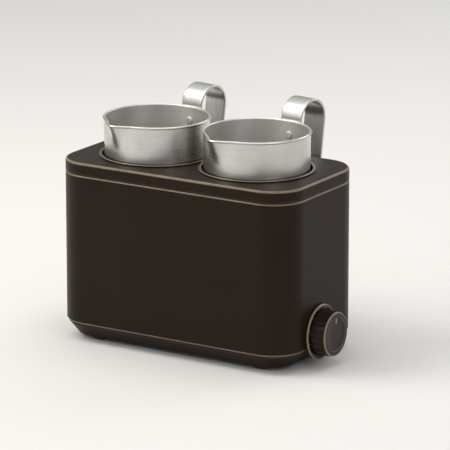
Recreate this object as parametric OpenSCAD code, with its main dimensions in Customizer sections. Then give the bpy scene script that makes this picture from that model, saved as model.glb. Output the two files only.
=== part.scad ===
// Two-cup sake warmer: an electric water bath in a moulded housing, with a lift-off deck, two
// tall metal warming cups that hook over its back edge, and a thermostat dial low on the right end.
// Millimetres. +Z is up, +X runs along the length to the dial end, +Y points to the back, and the
// origin lies on the table under the middle of the whole outline.

/* [Body] */
// Radius of the upright corners
corner_r = 24; // [22:0.5:28]
// Wall of the moulded housing, deck and base
wall = 2.4; // [1.8:0.1:3]
// Height of the room for the heater and the wiring, from the floor of the base to the tank
works_h = 33.8; // [32:0.1:42]
// Height of the deck above the upper parting line
cover_h = 9.3; // [8:0.1:12]
// Height of the base below the lower parting line
base_h = 10; // [8:0.5:14]
// How far the underside of the base is drawn in
base_inset = 8; // [4:0.5:9]
// Radius of the deck's top edge
deck_round = 2.2; // [1:0.1:3]
// Chamfer on both sides of each parting line
parting_chamfer = 0.7; // [0.3:0.1:1]
// How deep the deck's lip reaches into the housing
lip_depth = 5; // [3:0.5:7]

/* [Cups] */
// Height of a cup
cup_h = 112; // [98:1:126]
// How far the rims stand above the deck
rim_rise = 26.5; // [24:0.5:30]
// Outer radius of a cup at its rim
cup_top_r = 37.2; // [33:0.1:42]
// Narrowing of a cup's radius from rim to foot
cup_taper = 1.4; // [0.5:0.1:3]
// Wall of a cup
cup_wall = 1.2; // [0.8:0.1:1.6]
// Outer radius of the edge round a cup's foot
cup_foot_round = 7; // [4:0.5:9]
// Thickness of the rolled bead at a cup's rim
bead_t = 1.8; // [1.5:0.1:2]
// Turn of the cups about their own axes, handles towards the dial
cup_turn = 6.5; // [0:0.5:15]

/* [Pour lip] */
// Width of the pour lip where it leaves the rim
lip_w = 28; // [22:0.5:32]
// Reach of the pour lip past the cup's wall
lip_reach = 6; // [4:0.5:8]
// Radius of the pour lip's tip
lip_tip_r = 4.5; // [3:0.1:6]
// How far the pour lip runs down the wall
lip_drop = 18; // [14:0.5:22]
// Turn of the lip from straight opposite the handle
lip_turn = 9; // [0:1:15]

/* [Handles] */
// Width of the handle strap
strap_w = 17.5; // [14:0.5:20]
// Thickness of the handle strap
strap_t = 1.8; // [1.4:0.1:2.2]
// Outer radius of the arch of a handle
arch_r = 14.4; // [13:0.1:17]
// Inward lean of a handle's outer leg
leg_lean = 8; // [4:0.5:10]
// Length of a handle's outer leg below the arch
leg_l = 40; // [30:1:46]
// Height of the pad that is riveted to the cup
pad_h = 17; // [15:0.5:18]
// Radius of a handle rivet
rivet_r = 1.5; // [1.2:0.1:1.8]

/* [Deck rings] */
// Radial gap between a cup's wall and its ring
ring_gap = 1.4; // [1:0.1:1.6]
// Wall of a ring inside the deck
ring_wall = 1.4; // [1:0.1:1.4]
// Width of a ring's flange past its wall
ring_flange = 0.7; // [0.5:0.1:0.7]
// Height of a ring's flange on the deck
ring_flange_t = 1.2; // [0.8:0.1:1.6]
// Gap between the flanges of the two rings
ring_apart = 0.6; // [0.4:0.1:6]

/* [Water bath] */
// Room for water between the cups and the end walls of the tank
water_end = 8.1; // [7:0.1:18]
// Room for water between the cups and the long walls of the tank
water_side = 5.6; // [5:0.1:9]
// Width of the ledge that carries the tank
ledge_w = 5; // [4.5:0.1:6]
// Sheet thickness of the tank
tank_t = 1; // [0.8:0.1:1.2]
// Radius round the floor of the tank
tank_round = 8; // [6:0.5:10]
// Thickness of the gasket under the tank's flange
gasket_t = 1.5; // [1:0.1:2]
// Height of the cup stand above the tank's floor
stand_h = 4; // [3:0.5:5]
// Sheet thickness of the cup stand
stand_t = 1.2; // [1:0.1:1.5]

/* [Heater] */
// Depth of the heater plate
heater_d = 56; // [50:1:60]
// Thickness of the heater plate
heater_t = 4; // [3:0.5:5]
// Radius of the heating element's tube
element_r = 3.5; // [3:0.1:4]
// Distance of each straight run of the element from the middle
element_y = 17; // [15:0.5:19]
// Distance of the clamp studs from the ends of the heater plate
stud_end = 30; // [28:1:36]
// Radius of the studs
stud_r = 2; // [1.5:0.1:2.5]

/* [Dial] */
// Height of the dial's axis above the table
dial_z = 23; // [23:0.5:26]
// Distance of the dial's axis in front of the middle
dial_front = 6; // [2:0.5:7.5]
// Thickness of the ring round the dial knob
dial_ring_t = 2.6; // [2.2:0.1:3]
// Radius of the dial knob
knob_r = 16.2; // [14:0.1:17]
// Width of the ring that shows round the knob
dial_rim = 3.3; // [2:0.1:4]
// How far the knob's face stands out from the housing
knob_reach = 14; // [13:0.5:18]
// Radius of the dial's shaft
shaft_r = 3; // [2.5:0.1:3.2]
// Radius of the thermostat
thermostat_r = 9.5; // [8.5:0.1:9.6]
// Depth of the thermostat
thermostat_l = 18; // [14:0.5:20]

/* [Feet and fixings] */
// Height that the feet stand below the base
foot_h = 3; // [2:0.5:5]
// Radius of a foot
foot_r = 6.5; // [5:0.5:7]
// Distance of the feet's middle from the ends of the housing
foot_end = 29; // [27:0.5:40]
// Distance of the feet's middle from the front and the back
foot_side = 18.5; // [17.5:0.5:24]
// Radius of the screws
screw_r = 1.5; // [1.2:0.1:1.7]

/* [Cord inlet] */
// Radius of the hole for the cord
inlet_r = 3.6; // [3:0.1:4]
// Distance of the inlet from the left end of the housing
inlet_end = 35; // [33:1:50]
// Height of the inlet above the table
inlet_z = 24; // [24:0.5:30]

/* [Hidden] */
$fn = 72;

// Gaps
seat_gap = 0.3;
running_gap = 0.05;
thread_gap = 0.05;
past = 1;

// Levels, from the table up: the deck stands where the cups leave it
base_z = foot_h;
floor_z = base_z + wall;
housing_z = base_z + base_h;
tank_under_z = floor_z + works_h;
tank_floor_z = tank_under_z + tank_t;
cup_z = tank_floor_z + stand_h + seat_gap;
deck_z = cup_z + cup_h - rim_rise;
cover_z = deck_z - cover_h;

// Cups and rings, side by side
ring_in_r = cup_top_r + ring_gap;
ring_out_r = ring_in_r + ring_wall;
ring_depth = 5;
cup_pitch = 2 * (ring_out_r + ring_flange) + ring_apart;

// Body, from the cups and the water round them out to the walls
tank_to_wall = tank_t + seat_gap + ledge_w + wall;
body_l = cup_pitch + 2 * (cup_top_r + water_end + tank_to_wall);
body_d = 2 * (cup_top_r + water_side + tank_to_wall);

// Outlines, as radii round the axes of the upright corners
side_x = body_l / 2 - corner_r;
side_y = body_d / 2 - corner_r;
inner_r = corner_r - wall;
ledge_r = inner_r - ledge_w;
tank_r = ledge_r - seat_gap;
flange_r = inner_r - 0.5;

// Screws of the tank's flange
head_r = 1.7 * screw_r;
head_t = 1.6;
tank_screw_l = 9;
tank_screw_x = 46;
tank_screw_r = (ledge_r + inner_r) / 2 - 0.2;
flange_z = cover_z - lip_depth - head_t - seat_gap;
ledge_z = flange_z - tank_t - gasket_t;
ledge_t = 3;

// Screws of the base, in the corners
boss_r = 4;
boss_h = 22;
boss_cover = 1.4;
boss_out = corner_r - base_inset - boss_cover - boss_r;
boss_x = side_x + boss_out / sqrt(2);
boss_y = side_y + boss_out / sqrt(2);
base_screw_l = 16;
lip_rise = 2;
base_lip_t = 1.5;
base_reveal = 0.8;
foot_sink = 1;
foot_x = body_l / 2 - foot_end;
foot_y = body_d / 2 - foot_side;

// Cups
cup_floor_t = 1.6;
bead_r = bead_t / 2;
bead_sink = 0.1;
lip_tip_y = cup_top_r + lip_reach - lip_tip_r;
strap_in = cup_top_r - bead_sink + bead_r + running_gap;
arch_y = strap_in + arch_r;
leg_tip_l = leg_l - strap_w / 2;
pad_top = cup_h - 3;
pad_step = 4;
strap_lap = 0.4;
strap_nest = 0.02;
rivet_low = pad_top - pad_h + 3.5;
rivet_step = 7;

// Terminal block on the floor of the base
block_x = 20;
block_y = 34;
block_h = 12;
block_gap = 0.5;
block_face_x = -(body_l / 2 - base_inset - wall - block_gap - block_x);
block_mid_x = block_face_x - block_x / 2;
peg_r = 1.8;
peg_h = 4;
peg_y = block_y / 2 - 4;
pole_step = 10;
pole_r = 1.6;
pole_h = 7;
pole_z = floor_z + pole_h;
pole_slot_h = 9;
terminal_r = 1.9;
terminal_l = 2.2;
terminal_step = 5;

// Heat shield, from the leads that drop past its end, and the heater above it
lead_room = 6.1;
shield_margin = 3;
shield_side = 7;
shield_fold = 5;
shield_r = 5;
shield_l = 2 * (-block_face_x - lead_room);
heater_l = shield_l - 2 * shield_margin;
heater_r = 6;
stud_x = heater_l / 2 - stud_end;
plate_z = tank_under_z - heater_t;
groove = 1.5;
element_z = plate_z - element_r + groove;
clamp_t = 2;
clamp_w = 12;
clamp_z = element_z - element_r - clamp_t;
nut_t = 3.2;
nut_r = 2 * stud_r;
clamp_nut_z = clamp_z - nut_t;
shield_t = 0.8;
shield_z = clamp_nut_z - shield_t;
shield_nut_z = shield_z - nut_t;
stud_end_z = shield_nut_z - 1.2;
element_in = 4;
element_out = 5;
element_bend_x = -(heater_l / 2 - element_y - element_r - element_in);
element_end_x = heater_l / 2 + element_out;
bead_l = 3;
pin_r = 1.2;
pin_l = 8;
fuse_r = 2;
fuse_l = 14;
fuse_z = plate_z - fuse_r - running_gap;
fuse_screw_y = 3.5 * fuse_r;

// Dial
wall_x = body_l / 2;
inside_x = wall_x - wall;
dial_y = -dial_front;
bush_r = shaft_r + 2;
shaft_in = 6;
bush_bore_r = shaft_r + running_gap;
dial_recess = 1;
dial_ring_r = knob_r + dial_rim;
dial_seat_x = wall_x + dial_ring_t - dial_recess;
dial_nut_t = 2.6;
bush_end_x = dial_seat_x + dial_nut_t + 0.8;
knob_back_x = dial_seat_x + 0.5;
knob_face_x = wall_x + knob_reach;
knob_skin = 2.4;
flutes = 24;
shaft_flat = 0.7;
tab_l = 7;
tab_y = 5;
tab_w = 6.3;
tab_t = 0.8;

// Leads
lead_r = 1.3;
lead_in = 4;
lead_out = 3;
lead_bend = 4;
lead_sides = 8;
bend_steps = 4;

// Cord inlet
gland_r = inlet_r + 2.4;
gland_lap = 2.6;
gland_edge = 1;
gland_flange_t = 2.5;
gland_l = 12;
gland_nut_t = 4;
gland_nut_rim = 2;
inlet_x = body_l / 2 - inlet_end;
back_y = body_d / 2;

// Middle of the outline: the knob stands out at one end and the handles at the back
hook_back = (arch_y + arch_r) * cos(cup_turn) + strap_w / 2 * sin(cup_turn);
outline_x = knob_reach / 2;
outline_y = (hook_back - body_d / 2) / 2;

// Colours
black = [0.15, 0.125, 0.11];
steel = [0.76, 0.77, 0.78];
dark_steel = [0.5, 0.5, 0.51];
rubber_grey = [0.1, 0.1, 0.1];
ivory = [0.86, 0.83, 0.75];

// ---- Shared shapes ----

// Moves a piece from the body's own middle to the frame
module placed() {
  translate([-outline_x, -outline_y, 0]) children();
}

// Plan of a rounded box
module rounded_rect(length, depth, radius) {
  square([length, depth - 2 * radius], center = true);
  square([length - 2 * radius, depth], center = true);
  for (x = [-1, 1], y = [-1, 1])
    translate([x * (length / 2 - radius), y * (depth / 2 - radius)]) circle(radius);
}

// Runs a profile round the body: x is the distance from the corner axes and y the height
module swept() {
  for (turn = [0, 180]) rotate(turn) {
    translate([side_x, side_y, 0]) rotate_extrude(angle = 90) children();
    translate([-side_x, side_y, 0]) rotate(90) rotate_extrude(angle = 90) children();
    translate([side_x, side_y, 0]) rotate([90, 0, 0]) linear_extrude(2 * side_y) children();
    translate([-side_x, side_y, 0]) rotate([90, 0, 90]) linear_extrude(2 * side_x) children();
  }
}

// Plate between the corner axes, the middle that a swept profile goes round
module middle_plate(z, thickness) {
  translate([-side_x, -side_y, z]) cube([2 * side_x, 2 * side_y, thickness]);
}

// Filled half section of a pot with a rounded foot
module pot_section(foot_radius, top_radius, height, round) {
  square([foot_radius - round, height]);
  translate([foot_radius - round, round]) circle(round);
  polygon([[0, round], [foot_radius, round], [top_radius, height], [0, height]]);
}

// Repeats a piece in the four corners of the plan
module four_corners(x, y) {
  for (sx = [-1, 1], sy = [-1, 1]) translate([sx * x, sy * y, 0]) children();
}

// Cylinder that points along +X from the place given
module rod_x(x, radius, length) {
  translate([x, 0, 0]) rotate([0, 90, 0]) cylinder(r = radius, h = length);
}

// Hexagon nut round a stud of the given radius
module hex_nut(stud, thickness, across) {
  difference() {
    cylinder(r = across, h = thickness, $fn = 6);
    translate([0, 0, -past]) cylinder(r = stud + thread_gap, h = thickness + 2 * past);
  }
}

// Screw that points down from its seat, with a domed head above
module pan_screw(length) {
  translate([0, 0, -length]) cylinder(r = screw_r, h = length);
  difference() {
    cylinder(r = head_r, h = head_t);
    translate([0, 0, head_t / 2]) {
      translate([-head_r / 2, -0.3, 0]) cube([head_r, 0.6, head_t]);
      translate([-0.3, -head_r / 2, 0]) cube([0.6, head_r, head_t]);
    }
  }
}

// ---- Housing, deck, base and feet ----

// Section of the housing wall with the ledge that carries the tank
module housing_section() {
  polygon([
    [inner_r, housing_z],
    [corner_r - 2 * parting_chamfer, housing_z],
    [corner_r, housing_z + 2 * parting_chamfer],
    [corner_r, cover_z - parting_chamfer],
    [corner_r - parting_chamfer, cover_z],
    [inner_r, cover_z]
  ]);
  polygon([
    [ledge_r, ledge_z - ledge_t],
    [inner_r, ledge_z - ledge_t - ledge_w],
    [inner_r + wall / 2, ledge_z - ledge_t - ledge_w],
    [inner_r + wall / 2, ledge_z],
    [ledge_r, ledge_z]
  ]);
}

// Boss in a corner of the housing, tied to the wall by a rib
module corner_boss() {
  rib_low = lip_rise + seat_gap;
  translate([boss_x, boss_y, housing_z]) cylinder(r = boss_r, h = boss_h);
  intersection() {
    translate([boss_x, boss_y, housing_z + rib_low]) rotate(45)
      translate([0, -wall / 2, 0]) cube([corner_r, wall, boss_h - rib_low]);
    translate([side_x, side_y, 0]) cylinder(r = inner_r + wall / 2, h = deck_z);
  }
}

module housing() {
  color(black) difference() {
    union() {
      swept() housing_section();
      for (turn = [0, 180]) rotate(turn) {
        corner_boss();
        mirror([1, 0, 0]) corner_boss();
      }
    }
    four_corners(boss_x, boss_y) translate([0, 0, housing_z - past])
      cylinder(r = screw_r + thread_gap, h = base_screw_l + past);
    tank_screw_places() translate([0, 0, ledge_z - tank_screw_l])
      cylinder(r = screw_r + thread_gap, h = tank_screw_l + past);
    translate([0, dial_y, dial_z])
      rod_x(inside_x - past, bush_r + running_gap, wall + 2 * past);
    translate([-inlet_x, back_y + past, inlet_z]) rotate([90, 0, 0])
      cylinder(r = gland_r + running_gap, h = wall + 2 * past);
  }
}

// Section of the deck: rounded edge, skirt and the lip inside the housing
module cover_section() {
  lip_out = inner_r - seat_gap;
  difference() {
    union() {
      translate([0, deck_z - wall]) square([corner_r - deck_round, wall]);
      translate([lip_out - wall, cover_z + seat_gap])
        square([corner_r - lip_out + wall - parting_chamfer, deck_round]);
      polygon([
        [lip_out, cover_z + seat_gap],
        [corner_r - parting_chamfer, cover_z + seat_gap],
        [corner_r, cover_z + seat_gap + parting_chamfer],
        [corner_r, deck_z - deck_round],
        [lip_out, deck_z - deck_round]
      ]);
      translate([lip_out - wall, deck_z - wall]) square([corner_r - lip_out + wall - deck_round, wall]);
      translate([corner_r - deck_round, deck_z - deck_round]) circle(deck_round);
      translate([lip_out - wall, cover_z - lip_depth]) square([wall, lip_depth + cover_h - wall]);
    }
    translate([lip_out, cover_z + wall + seat_gap])
      square([corner_r - wall - lip_out, cover_h - 2 * wall - seat_gap]);
  }
}

module top_cover() {
  color(black) difference() {
    union() {
      swept() cover_section();
      middle_plate(deck_z - wall, wall);
      for (side = [-1, 1]) translate([side * cup_pitch / 2, 0, deck_z - ring_depth - wall / 2])
        cylinder(r = ring_out_r + wall, h = ring_depth);
    }
    for (side = [-1, 1]) translate([side * cup_pitch / 2, 0, cover_z])
      cylinder(r = ring_out_r + running_gap, h = cover_h + past);
  }
}

module ring(side) {
  color(black) translate([side * cup_pitch / 2, 0, deck_z]) rotate_extrude() {
    difference() {
      union() {
        translate([ring_in_r, -ring_depth]) square([ring_wall, ring_depth + past / 2]);
        translate([ring_in_r, 0]) square([ring_wall + ring_flange - ring_flange_t / 2, ring_flange_t]);
        translate([ring_out_r + ring_flange - ring_flange_t / 2, ring_flange_t / 2])
          circle(ring_flange_t / 2);
      }
      polygon([
        [ring_in_r - past, ring_flange_t + past],
        [ring_in_r - past, -0.2],
        [ring_in_r + ring_flange_t, ring_flange_t + past]
      ]);
    }
  }
}

// Section of the base wall: drawn in towards the table, with a lip inside the housing
module base_section() {
  lip_out = inner_r - seat_gap;
  foot_out = corner_r - base_inset;
  polygon([
    [foot_out - wall, base_z],
    [foot_out - parting_chamfer, base_z],
    [foot_out, base_z + parting_chamfer],
    [corner_r - base_reveal - parting_chamfer, housing_z - 1.5 * parting_chamfer],
    [corner_r - base_reveal - parting_chamfer, housing_z],
    [lip_out, housing_z],
    [lip_out, housing_z + lip_rise],
    [lip_out - base_lip_t, housing_z + lip_rise],
    [lip_out - base_lip_t, housing_z - wall],
    [foot_out - wall, base_z + wall]
  ]);
  translate([0, base_z]) square([foot_out - wall, wall]);
}

module vent_slots() {
  slot_w = 3;
  slot_l = 16;
  slot_step = 9;
  for (x = [-4:4], y = [-1, 1]) translate([x * slot_step, y * slot_l * 0.65, base_z - past])
    linear_extrude(wall + 2 * past) rounded_rect(slot_w, slot_l, slot_w / 2 - 0.01);
}

module base_cover() {
  notch_z = min(housing_z, dial_z - thermostat_r - seat_gap);
  color(black) difference() {
    union() {
      swept() base_section();
      middle_plate(base_z, wall);
      four_corners(boss_x, boss_y) translate([0, 0, base_z]) cylinder(r = boss_r, h = base_h);
      for (y = [-1, 1]) translate([block_mid_x, y * peg_y, base_z + wall / 2])
        cylinder(r = peg_r, h = peg_h + wall / 2);
    }
    vent_slots();
    four_corners(foot_x, foot_y) translate([0, 0, base_z - past])
      cylinder(r = foot_r + running_gap, h = foot_sink + past);
    four_corners(boss_x, boss_y) translate([0, 0, base_z - past]) {
      cylinder(r = screw_r + 0.3, h = base_h + 2 * past);
      cylinder(r = head_r + 0.3, h = base_h / 2 + past);
    }
    translate([inside_x - thermostat_r, dial_y - thermostat_r, notch_z])
      cube([thermostat_r, 2 * thermostat_r, housing_z + lip_rise + past - notch_z]);
  }
}

module foot(x, y) {
  edge = 0.8;
  color(rubber_grey) translate([x * foot_x, y * foot_y, 0]) {
    cylinder(r1 = foot_r - edge, r2 = foot_r, h = edge);
    translate([0, 0, edge]) cylinder(r = foot_r, h = foot_h + foot_sink - edge);
  }
}

module base_screws() {
  seat_z = base_z + base_h / 2;
  color(dark_steel) four_corners(boss_x, boss_y) translate([0, 0, seat_z]) rotate([180, 0, 0])
    pan_screw(base_screw_l - past + housing_z - seat_z);
}

// ---- Water bath ----

// Places of the screws that hold the tank's flange on the ledge
module tank_screw_places() {
  for (x = [-1, 1], y = [-1, 1])
    translate([x * tank_screw_x, y * (side_y + tank_screw_r), 0]) children();
}

module tank_section() {
  height = flange_z - tank_under_z;
  translate([0, tank_under_z]) difference() {
    pot_section(tank_r, tank_r, height, tank_round);
    translate([0, tank_t]) pot_section(tank_r - tank_t, tank_r - tank_t, height, tank_round - tank_t);
  }
  translate([tank_r - tank_t, flange_z - tank_t]) square([flange_r - tank_r + tank_t, tank_t]);
}

module tank() {
  color(steel) {
    difference() {
      union() {
        swept() tank_section();
        middle_plate(tank_under_z, tank_t);
      }
      tank_screw_places() translate([0, 0, flange_z - tank_t - past])
        cylinder(r = screw_r + seat_gap, h = tank_t + 2 * past);
    }
    for (x = [-1, 1]) translate([x * stud_x, 0, stud_end_z])
      cylinder(r = stud_r, h = tank_under_z - stud_end_z + tank_t / 2);
  }
}

module tank_gasket() {
  color(rubber_grey) difference() {
    swept() translate([ledge_r + 0.2, ledge_z]) square([flange_r - ledge_r - 0.2, gasket_t]);
    tank_screw_places() translate([0, 0, ledge_z - past])
      cylinder(r = screw_r + seat_gap, h = gasket_t + 2 * past);
  }
}

module tank_screws() {
  color(steel) tank_screw_places() translate([0, 0, flange_z])
    pan_screw(tank_screw_l + tank_t + gasket_t - past);
}

// Perforated plate that keeps the cups off the hot floor
module cup_stand() {
  length = 2 * (side_x + tank_r - tank_round) - 6;
  depth = 2 * (side_y + tank_r - tank_round) - 2;
  hole_r = 3.5;
  step = 12;
  columns = floor((length / 2 - 8) / step);
  rows = floor((depth / 2 - 8) / step);
  color(steel) translate([0, 0, tank_floor_z]) {
    difference() {
      translate([-length / 2, -depth / 2, stand_h - stand_t]) cube([length, depth, stand_t]);
      for (x = [-columns:columns], y = [-rows:rows])
        translate([x * step, y * step, stand_h - stand_t - past])
          cylinder(r = hole_r, h = stand_t + 2 * past);
    }
    for (y = [-1, 1]) translate([-length / 2, y * (depth / 2 - stand_t / 2) - stand_t / 2, 0])
      cube([length, stand_t, stand_h - stand_t / 2]);
  }
}

// ---- Cups and their hooks ----

// Radius of a cup's outer wall at a height above its foot
function cup_wall_r(z) =
  cup_top_r - cup_taper * (cup_h - z) / (cup_h - cup_foot_round);

// Puts a piece where one of the cups stands, its handle towards +Y
module at_cup(side) {
  translate([side * cup_pitch / 2, 0, cup_z]) rotate(-cup_turn) children();
}

// Where the pour lip starts on a circle round the cup, as its half width and its distance
function lip_start(inset) =
  let (half_w = lip_w / 2 - inset, around_r = cup_top_r - inset)
  [half_w, sqrt(around_r * around_r - half_w * half_w)];

// Plan of the pour lip at the rim: straight flanks that run on to a round tip
module lip_plan(inset) {
  tip_r = lip_tip_r - inset;
  start = lip_start(inset);
  rise = lip_tip_y - start[1];
  swing = atan2(rise, start[0]) + asin(tip_r / norm([start[0], rise]));
  touch = [tip_r * sin(swing), lip_tip_y + tip_r * cos(swing)];
  translate([0, lip_tip_y]) circle(tip_r);
  polygon([start, touch, [-touch[0], touch[1]], [-start[0], start[1]]]);
}

// Pour lip, a beak that widens from the wall up to the rim, drawn in by the inset given
module pour_lip(inset) {
  thin = 0.5;
  start = lip_start(inset);
  rotate(180 - lip_turn) hull() {
    translate([0, lip_tip_y, cup_h - thin]) cylinder(r = lip_tip_r - inset, h = thin, $fn = 32);
    for (x = [-1, 1]) translate([x * (start[0] - thin), start[1] - thin, cup_h - thin])
      cylinder(r = thin, h = thin, $fn = 16);
    translate([0, cup_wall_r(cup_h - lip_drop) - inset - 2, cup_h - lip_drop + inset])
      sphere(1.8, $fn = 24);
  }
}

// Rolled bead round the rim, and the flat edge that carries it on round the pour lip
module rim_bead() {
  translate([0, 0, cup_h]) {
    difference() {
      rotate_extrude() translate([cup_top_r - bead_sink, 0]) circle(bead_r);
      rotate(180 - lip_turn) linear_extrude(2 * past, center = true)
        polygon([[0, 0], [lip_w / 2, cup_top_r], [lip_w / 2, 2 * cup_top_r],
          [-lip_w / 2, 2 * cup_top_r], [-lip_w / 2, cup_top_r]]);
    }
    rotate(180 - lip_turn) linear_extrude(bead_t - 0.2, center = true) difference() {
      lip_plan(bead_sink - bead_r);
      lip_plan(cup_wall - 0.2);
      circle(cup_top_r - cup_wall + 0.2);
    }
  }
}

// Holes or shanks of the two rivets, along the radius through the handle's pad
module rivet_places() {
  for (step = [0, 1]) translate([0, 0, rivet_low + step * rivet_step]) rotate([-90, 0, 0])
    children();
}

module cup(side) {
  inner_h = cup_h - cup_floor_t;
  color(steel) at_cup(side) {
    difference() {
      union() {
        rotate_extrude() pot_section(cup_top_r - cup_taper, cup_top_r, cup_h, cup_foot_round);
        pour_lip(0);
      }
      translate([0, 0, cup_floor_t]) rotate_extrude()
        pot_section(cup_top_r - cup_taper - cup_wall, cup_top_r - cup_wall, inner_h + 0.01,
          cup_foot_round - cup_wall);
      translate([0, 0, 0.01]) pour_lip(cup_wall);
      rivet_places() cylinder(r = rivet_r + thread_gap, h = arch_y);
    }
    rim_bead();
  }
}

// Strap: inner leg, arch over the back and the outer leg, which leans in and ends round
module strap() {
  arch_in = arch_r - strap_t;
  translate([-strap_w / 2, strap_in, pad_top - 1])
    cube([strap_w, strap_t, cup_h - pad_top + 1 + strap_lap]);
  translate([0, arch_y, cup_h]) {
    rotate([90, 0, 90]) rotate(-leg_lean) rotate_extrude(angle = 180 + leg_lean)
      translate([arch_in + strap_nest, -strap_w / 2]) square([strap_t - 2 * strap_nest, strap_w]);
    rotate([-leg_lean, 0, 0]) translate([0, arch_in, -leg_tip_l]) {
      translate([-strap_w / 2, 0, 0]) cube([strap_w, strap_t, leg_tip_l + strap_lap]);
      rotate([-90, 0, 0]) cylinder(r = strap_w / 2, h = strap_t);
    }
  }
}

// Ring of the strap's thickness between two heights, from one inner radius to another
module strap_ring(low, high, low_r, high_r, high_t) {
  translate([0, 0, low]) difference() {
    cylinder(r1 = low_r + strap_t, r2 = high_r + high_t, h = high - low);
    cylinder(r1 = low_r, r2 = high_r, h = high - low);
  }
}

// Pad of the strap, curved to the cup's wall, and the step that takes it out past the bead
module strap_pad() {
  low = pad_top - pad_h;
  step_z = pad_top - pad_step;
  intersection() {
    union() {
      strap_ring(low, step_z, cup_wall_r(low), cup_wall_r(step_z), strap_t);
      strap_ring(step_z, pad_top, cup_wall_r(step_z), strap_in + 0.3, strap_t + 0.7);
    }
    translate([-strap_w / 2, 0, low]) cube([strap_w, 2 * cup_top_r, pad_h]);
  }
}

module handle(side) {
  color(steel) at_cup(side) difference() {
    union() {
      strap();
      strap_pad();
    }
    rivet_places() cylinder(r = rivet_r + thread_gap, h = arch_y);
  }
}

module rivets(side) {
  head = 1.8 * rivet_r;
  color(steel) at_cup(side) for (step = [0, 1]) {
    z = rivet_low + step * rivet_step;
    inner = cup_wall_r(z) - cup_wall;
    translate([0, 0, z]) rotate([-90, 0, 0]) {
      translate([0, 0, inner - 1]) cylinder(r = rivet_r, h = cup_wall + strap_t + 1.6);
      translate([0, 0, inner - 1]) cylinder(r = head, h = 0.8);
      translate([0, 0, inner + cup_wall + strap_t + 0.1]) cylinder(r1 = head, r2 = rivet_r, h = 1);
    }
  }
}

// ---- Heater under the tank ----

// Path of the element, as a solid of the given radius
module element_path(radius) {
  translate([element_bend_x, 0, element_z]) rotate(90) rotate_extrude(angle = 180)
    translate([element_y, 0]) circle(radius);
  for (y = [-1, 1]) translate([0, y * element_y, element_z])
    rod_x(element_bend_x, radius, element_end_x - element_bend_x);
}

module heater_plate() {
  color(steel) difference() {
    translate([0, 0, plate_z]) linear_extrude(heater_t)
      rounded_rect(heater_l, heater_d, heater_r);
    element_path(element_r + running_gap);
    for (x = [-1, 1]) translate([x * stud_x, 0, plate_z - past])
      cylinder(r = stud_r + seat_gap, h = heater_t + 2 * past);
    for (y = [-1, 1]) translate([0, y * fuse_screw_y, plate_z - past])
      cylinder(r = 1 + thread_gap, h = 2.5 + past);
  }
}

module heater_element() {
  color(dark_steel) element_path(element_r);
}

// Insulating beads and pins at the cold ends of the element
module element_terminals() {
  color(ivory) for (y = [-1, 1]) translate([0, y * element_y, element_z]) {
    rod_x(element_end_x, element_r - 0.6, bead_l);
    rod_x(element_end_x + bead_l, pin_r, pin_l - bead_l);
  }
}

// Straps that press the element into the plate's groove
module clamp_straps() {
  length = 2 * (element_y + element_r + clamp_t);
  color(dark_steel) for (x = [-1, 1]) translate([x * stud_x, 0, clamp_z]) difference() {
    translate([-clamp_w / 2, -length / 2, 0]) cube([clamp_w, length, clamp_t]);
    translate([0, 0, -past]) cylinder(r = stud_r + seat_gap, h = clamp_t + 2 * past);
  }
}

module stud_nuts(z) {
  color(dark_steel) for (x = [-1, 1]) translate([x * stud_x, 0, z]) hex_nut(stud_r, nut_t, nut_r);
}

// Folded tray that keeps the heat off the wiring
module heat_shield() {
  depth = heater_d + 2 * shield_side;
  color(dark_steel) translate([0, 0, shield_z]) difference() {
    translate([0, 0, shield_t - shield_fold]) linear_extrude(shield_fold)
      rounded_rect(shield_l, depth, shield_r);
    translate([0, 0, -shield_fold]) linear_extrude(shield_fold)
      rounded_rect(shield_l - 2 * shield_t, depth - 2 * shield_t, shield_r - shield_t);
    for (x = [-1, 1]) translate([x * stud_x, 0, -past])
      cylinder(r = stud_r + seat_gap, h = shield_t + 2 * past);
  }
}

module thermal_fuse() {
  color(ivory) translate([0, 0, fuse_z]) {
    rod_x(-fuse_l / 2, fuse_r, fuse_l);
    rod_x(-fuse_l / 2 - 2, 0.6, fuse_l + 4);
  }
}

// Saddle that holds the fuse against the heater plate
module fuse_clip() {
  clip_w = 6;
  clip_l = 2 * fuse_screw_y + 5;
  color(steel) difference() {
    union() {
      translate([-clip_w / 2, -clip_l / 2, plate_z - 1]) cube([clip_w, clip_l, 1]);
      translate([0, 0, fuse_z]) rod_x(-clip_w / 2, fuse_r + 1, clip_w);
    }
    translate([0, 0, fuse_z]) rod_x(-clip_w, fuse_r + running_gap, 2 * clip_w);
    translate([-clip_w, -fuse_r - running_gap, fuse_z])
      cube([2 * clip_w, 2 * (fuse_r + running_gap), 2 * fuse_r]);
    translate([-clip_w, -2 * fuse_r, plate_z]) cube([2 * clip_w, 4 * fuse_r, fuse_r]);
    for (y = [-1, 1]) translate([0, y * fuse_screw_y, plate_z - 2]) cylinder(r = 1.2, h = 4);
  }
}

module fuse_screws() {
  color(dark_steel) for (y = [-1, 1]) translate([0, y * fuse_screw_y, plate_z - 1]) {
    cylinder(r = 1, h = 3);
    translate([0, 0, -1]) cylinder(r = 1.9, h = 1);
  }
}

// ---- Thermostat and dial ----

module thermostat() {
  front = 3;
  color(ivory) translate([0, dial_y, dial_z]) difference() {
    union() {
      rod_x(inside_x - thermostat_l, thermostat_r - 1, thermostat_l - front);
      rod_x(inside_x - front, thermostat_r, front);
      rod_x(inside_x, bush_r, bush_end_x - inside_x);
      for (y = [-1, 1])
        translate([inside_x - thermostat_l - tab_l, y * tab_y - tab_t / 2, -tab_w / 2])
          cube([tab_l + 1, tab_t, tab_w]);
    }
    rod_x(inside_x - thermostat_l + shaft_in, bush_bore_r, thermostat_l + bush_end_x);
  }
}

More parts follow.
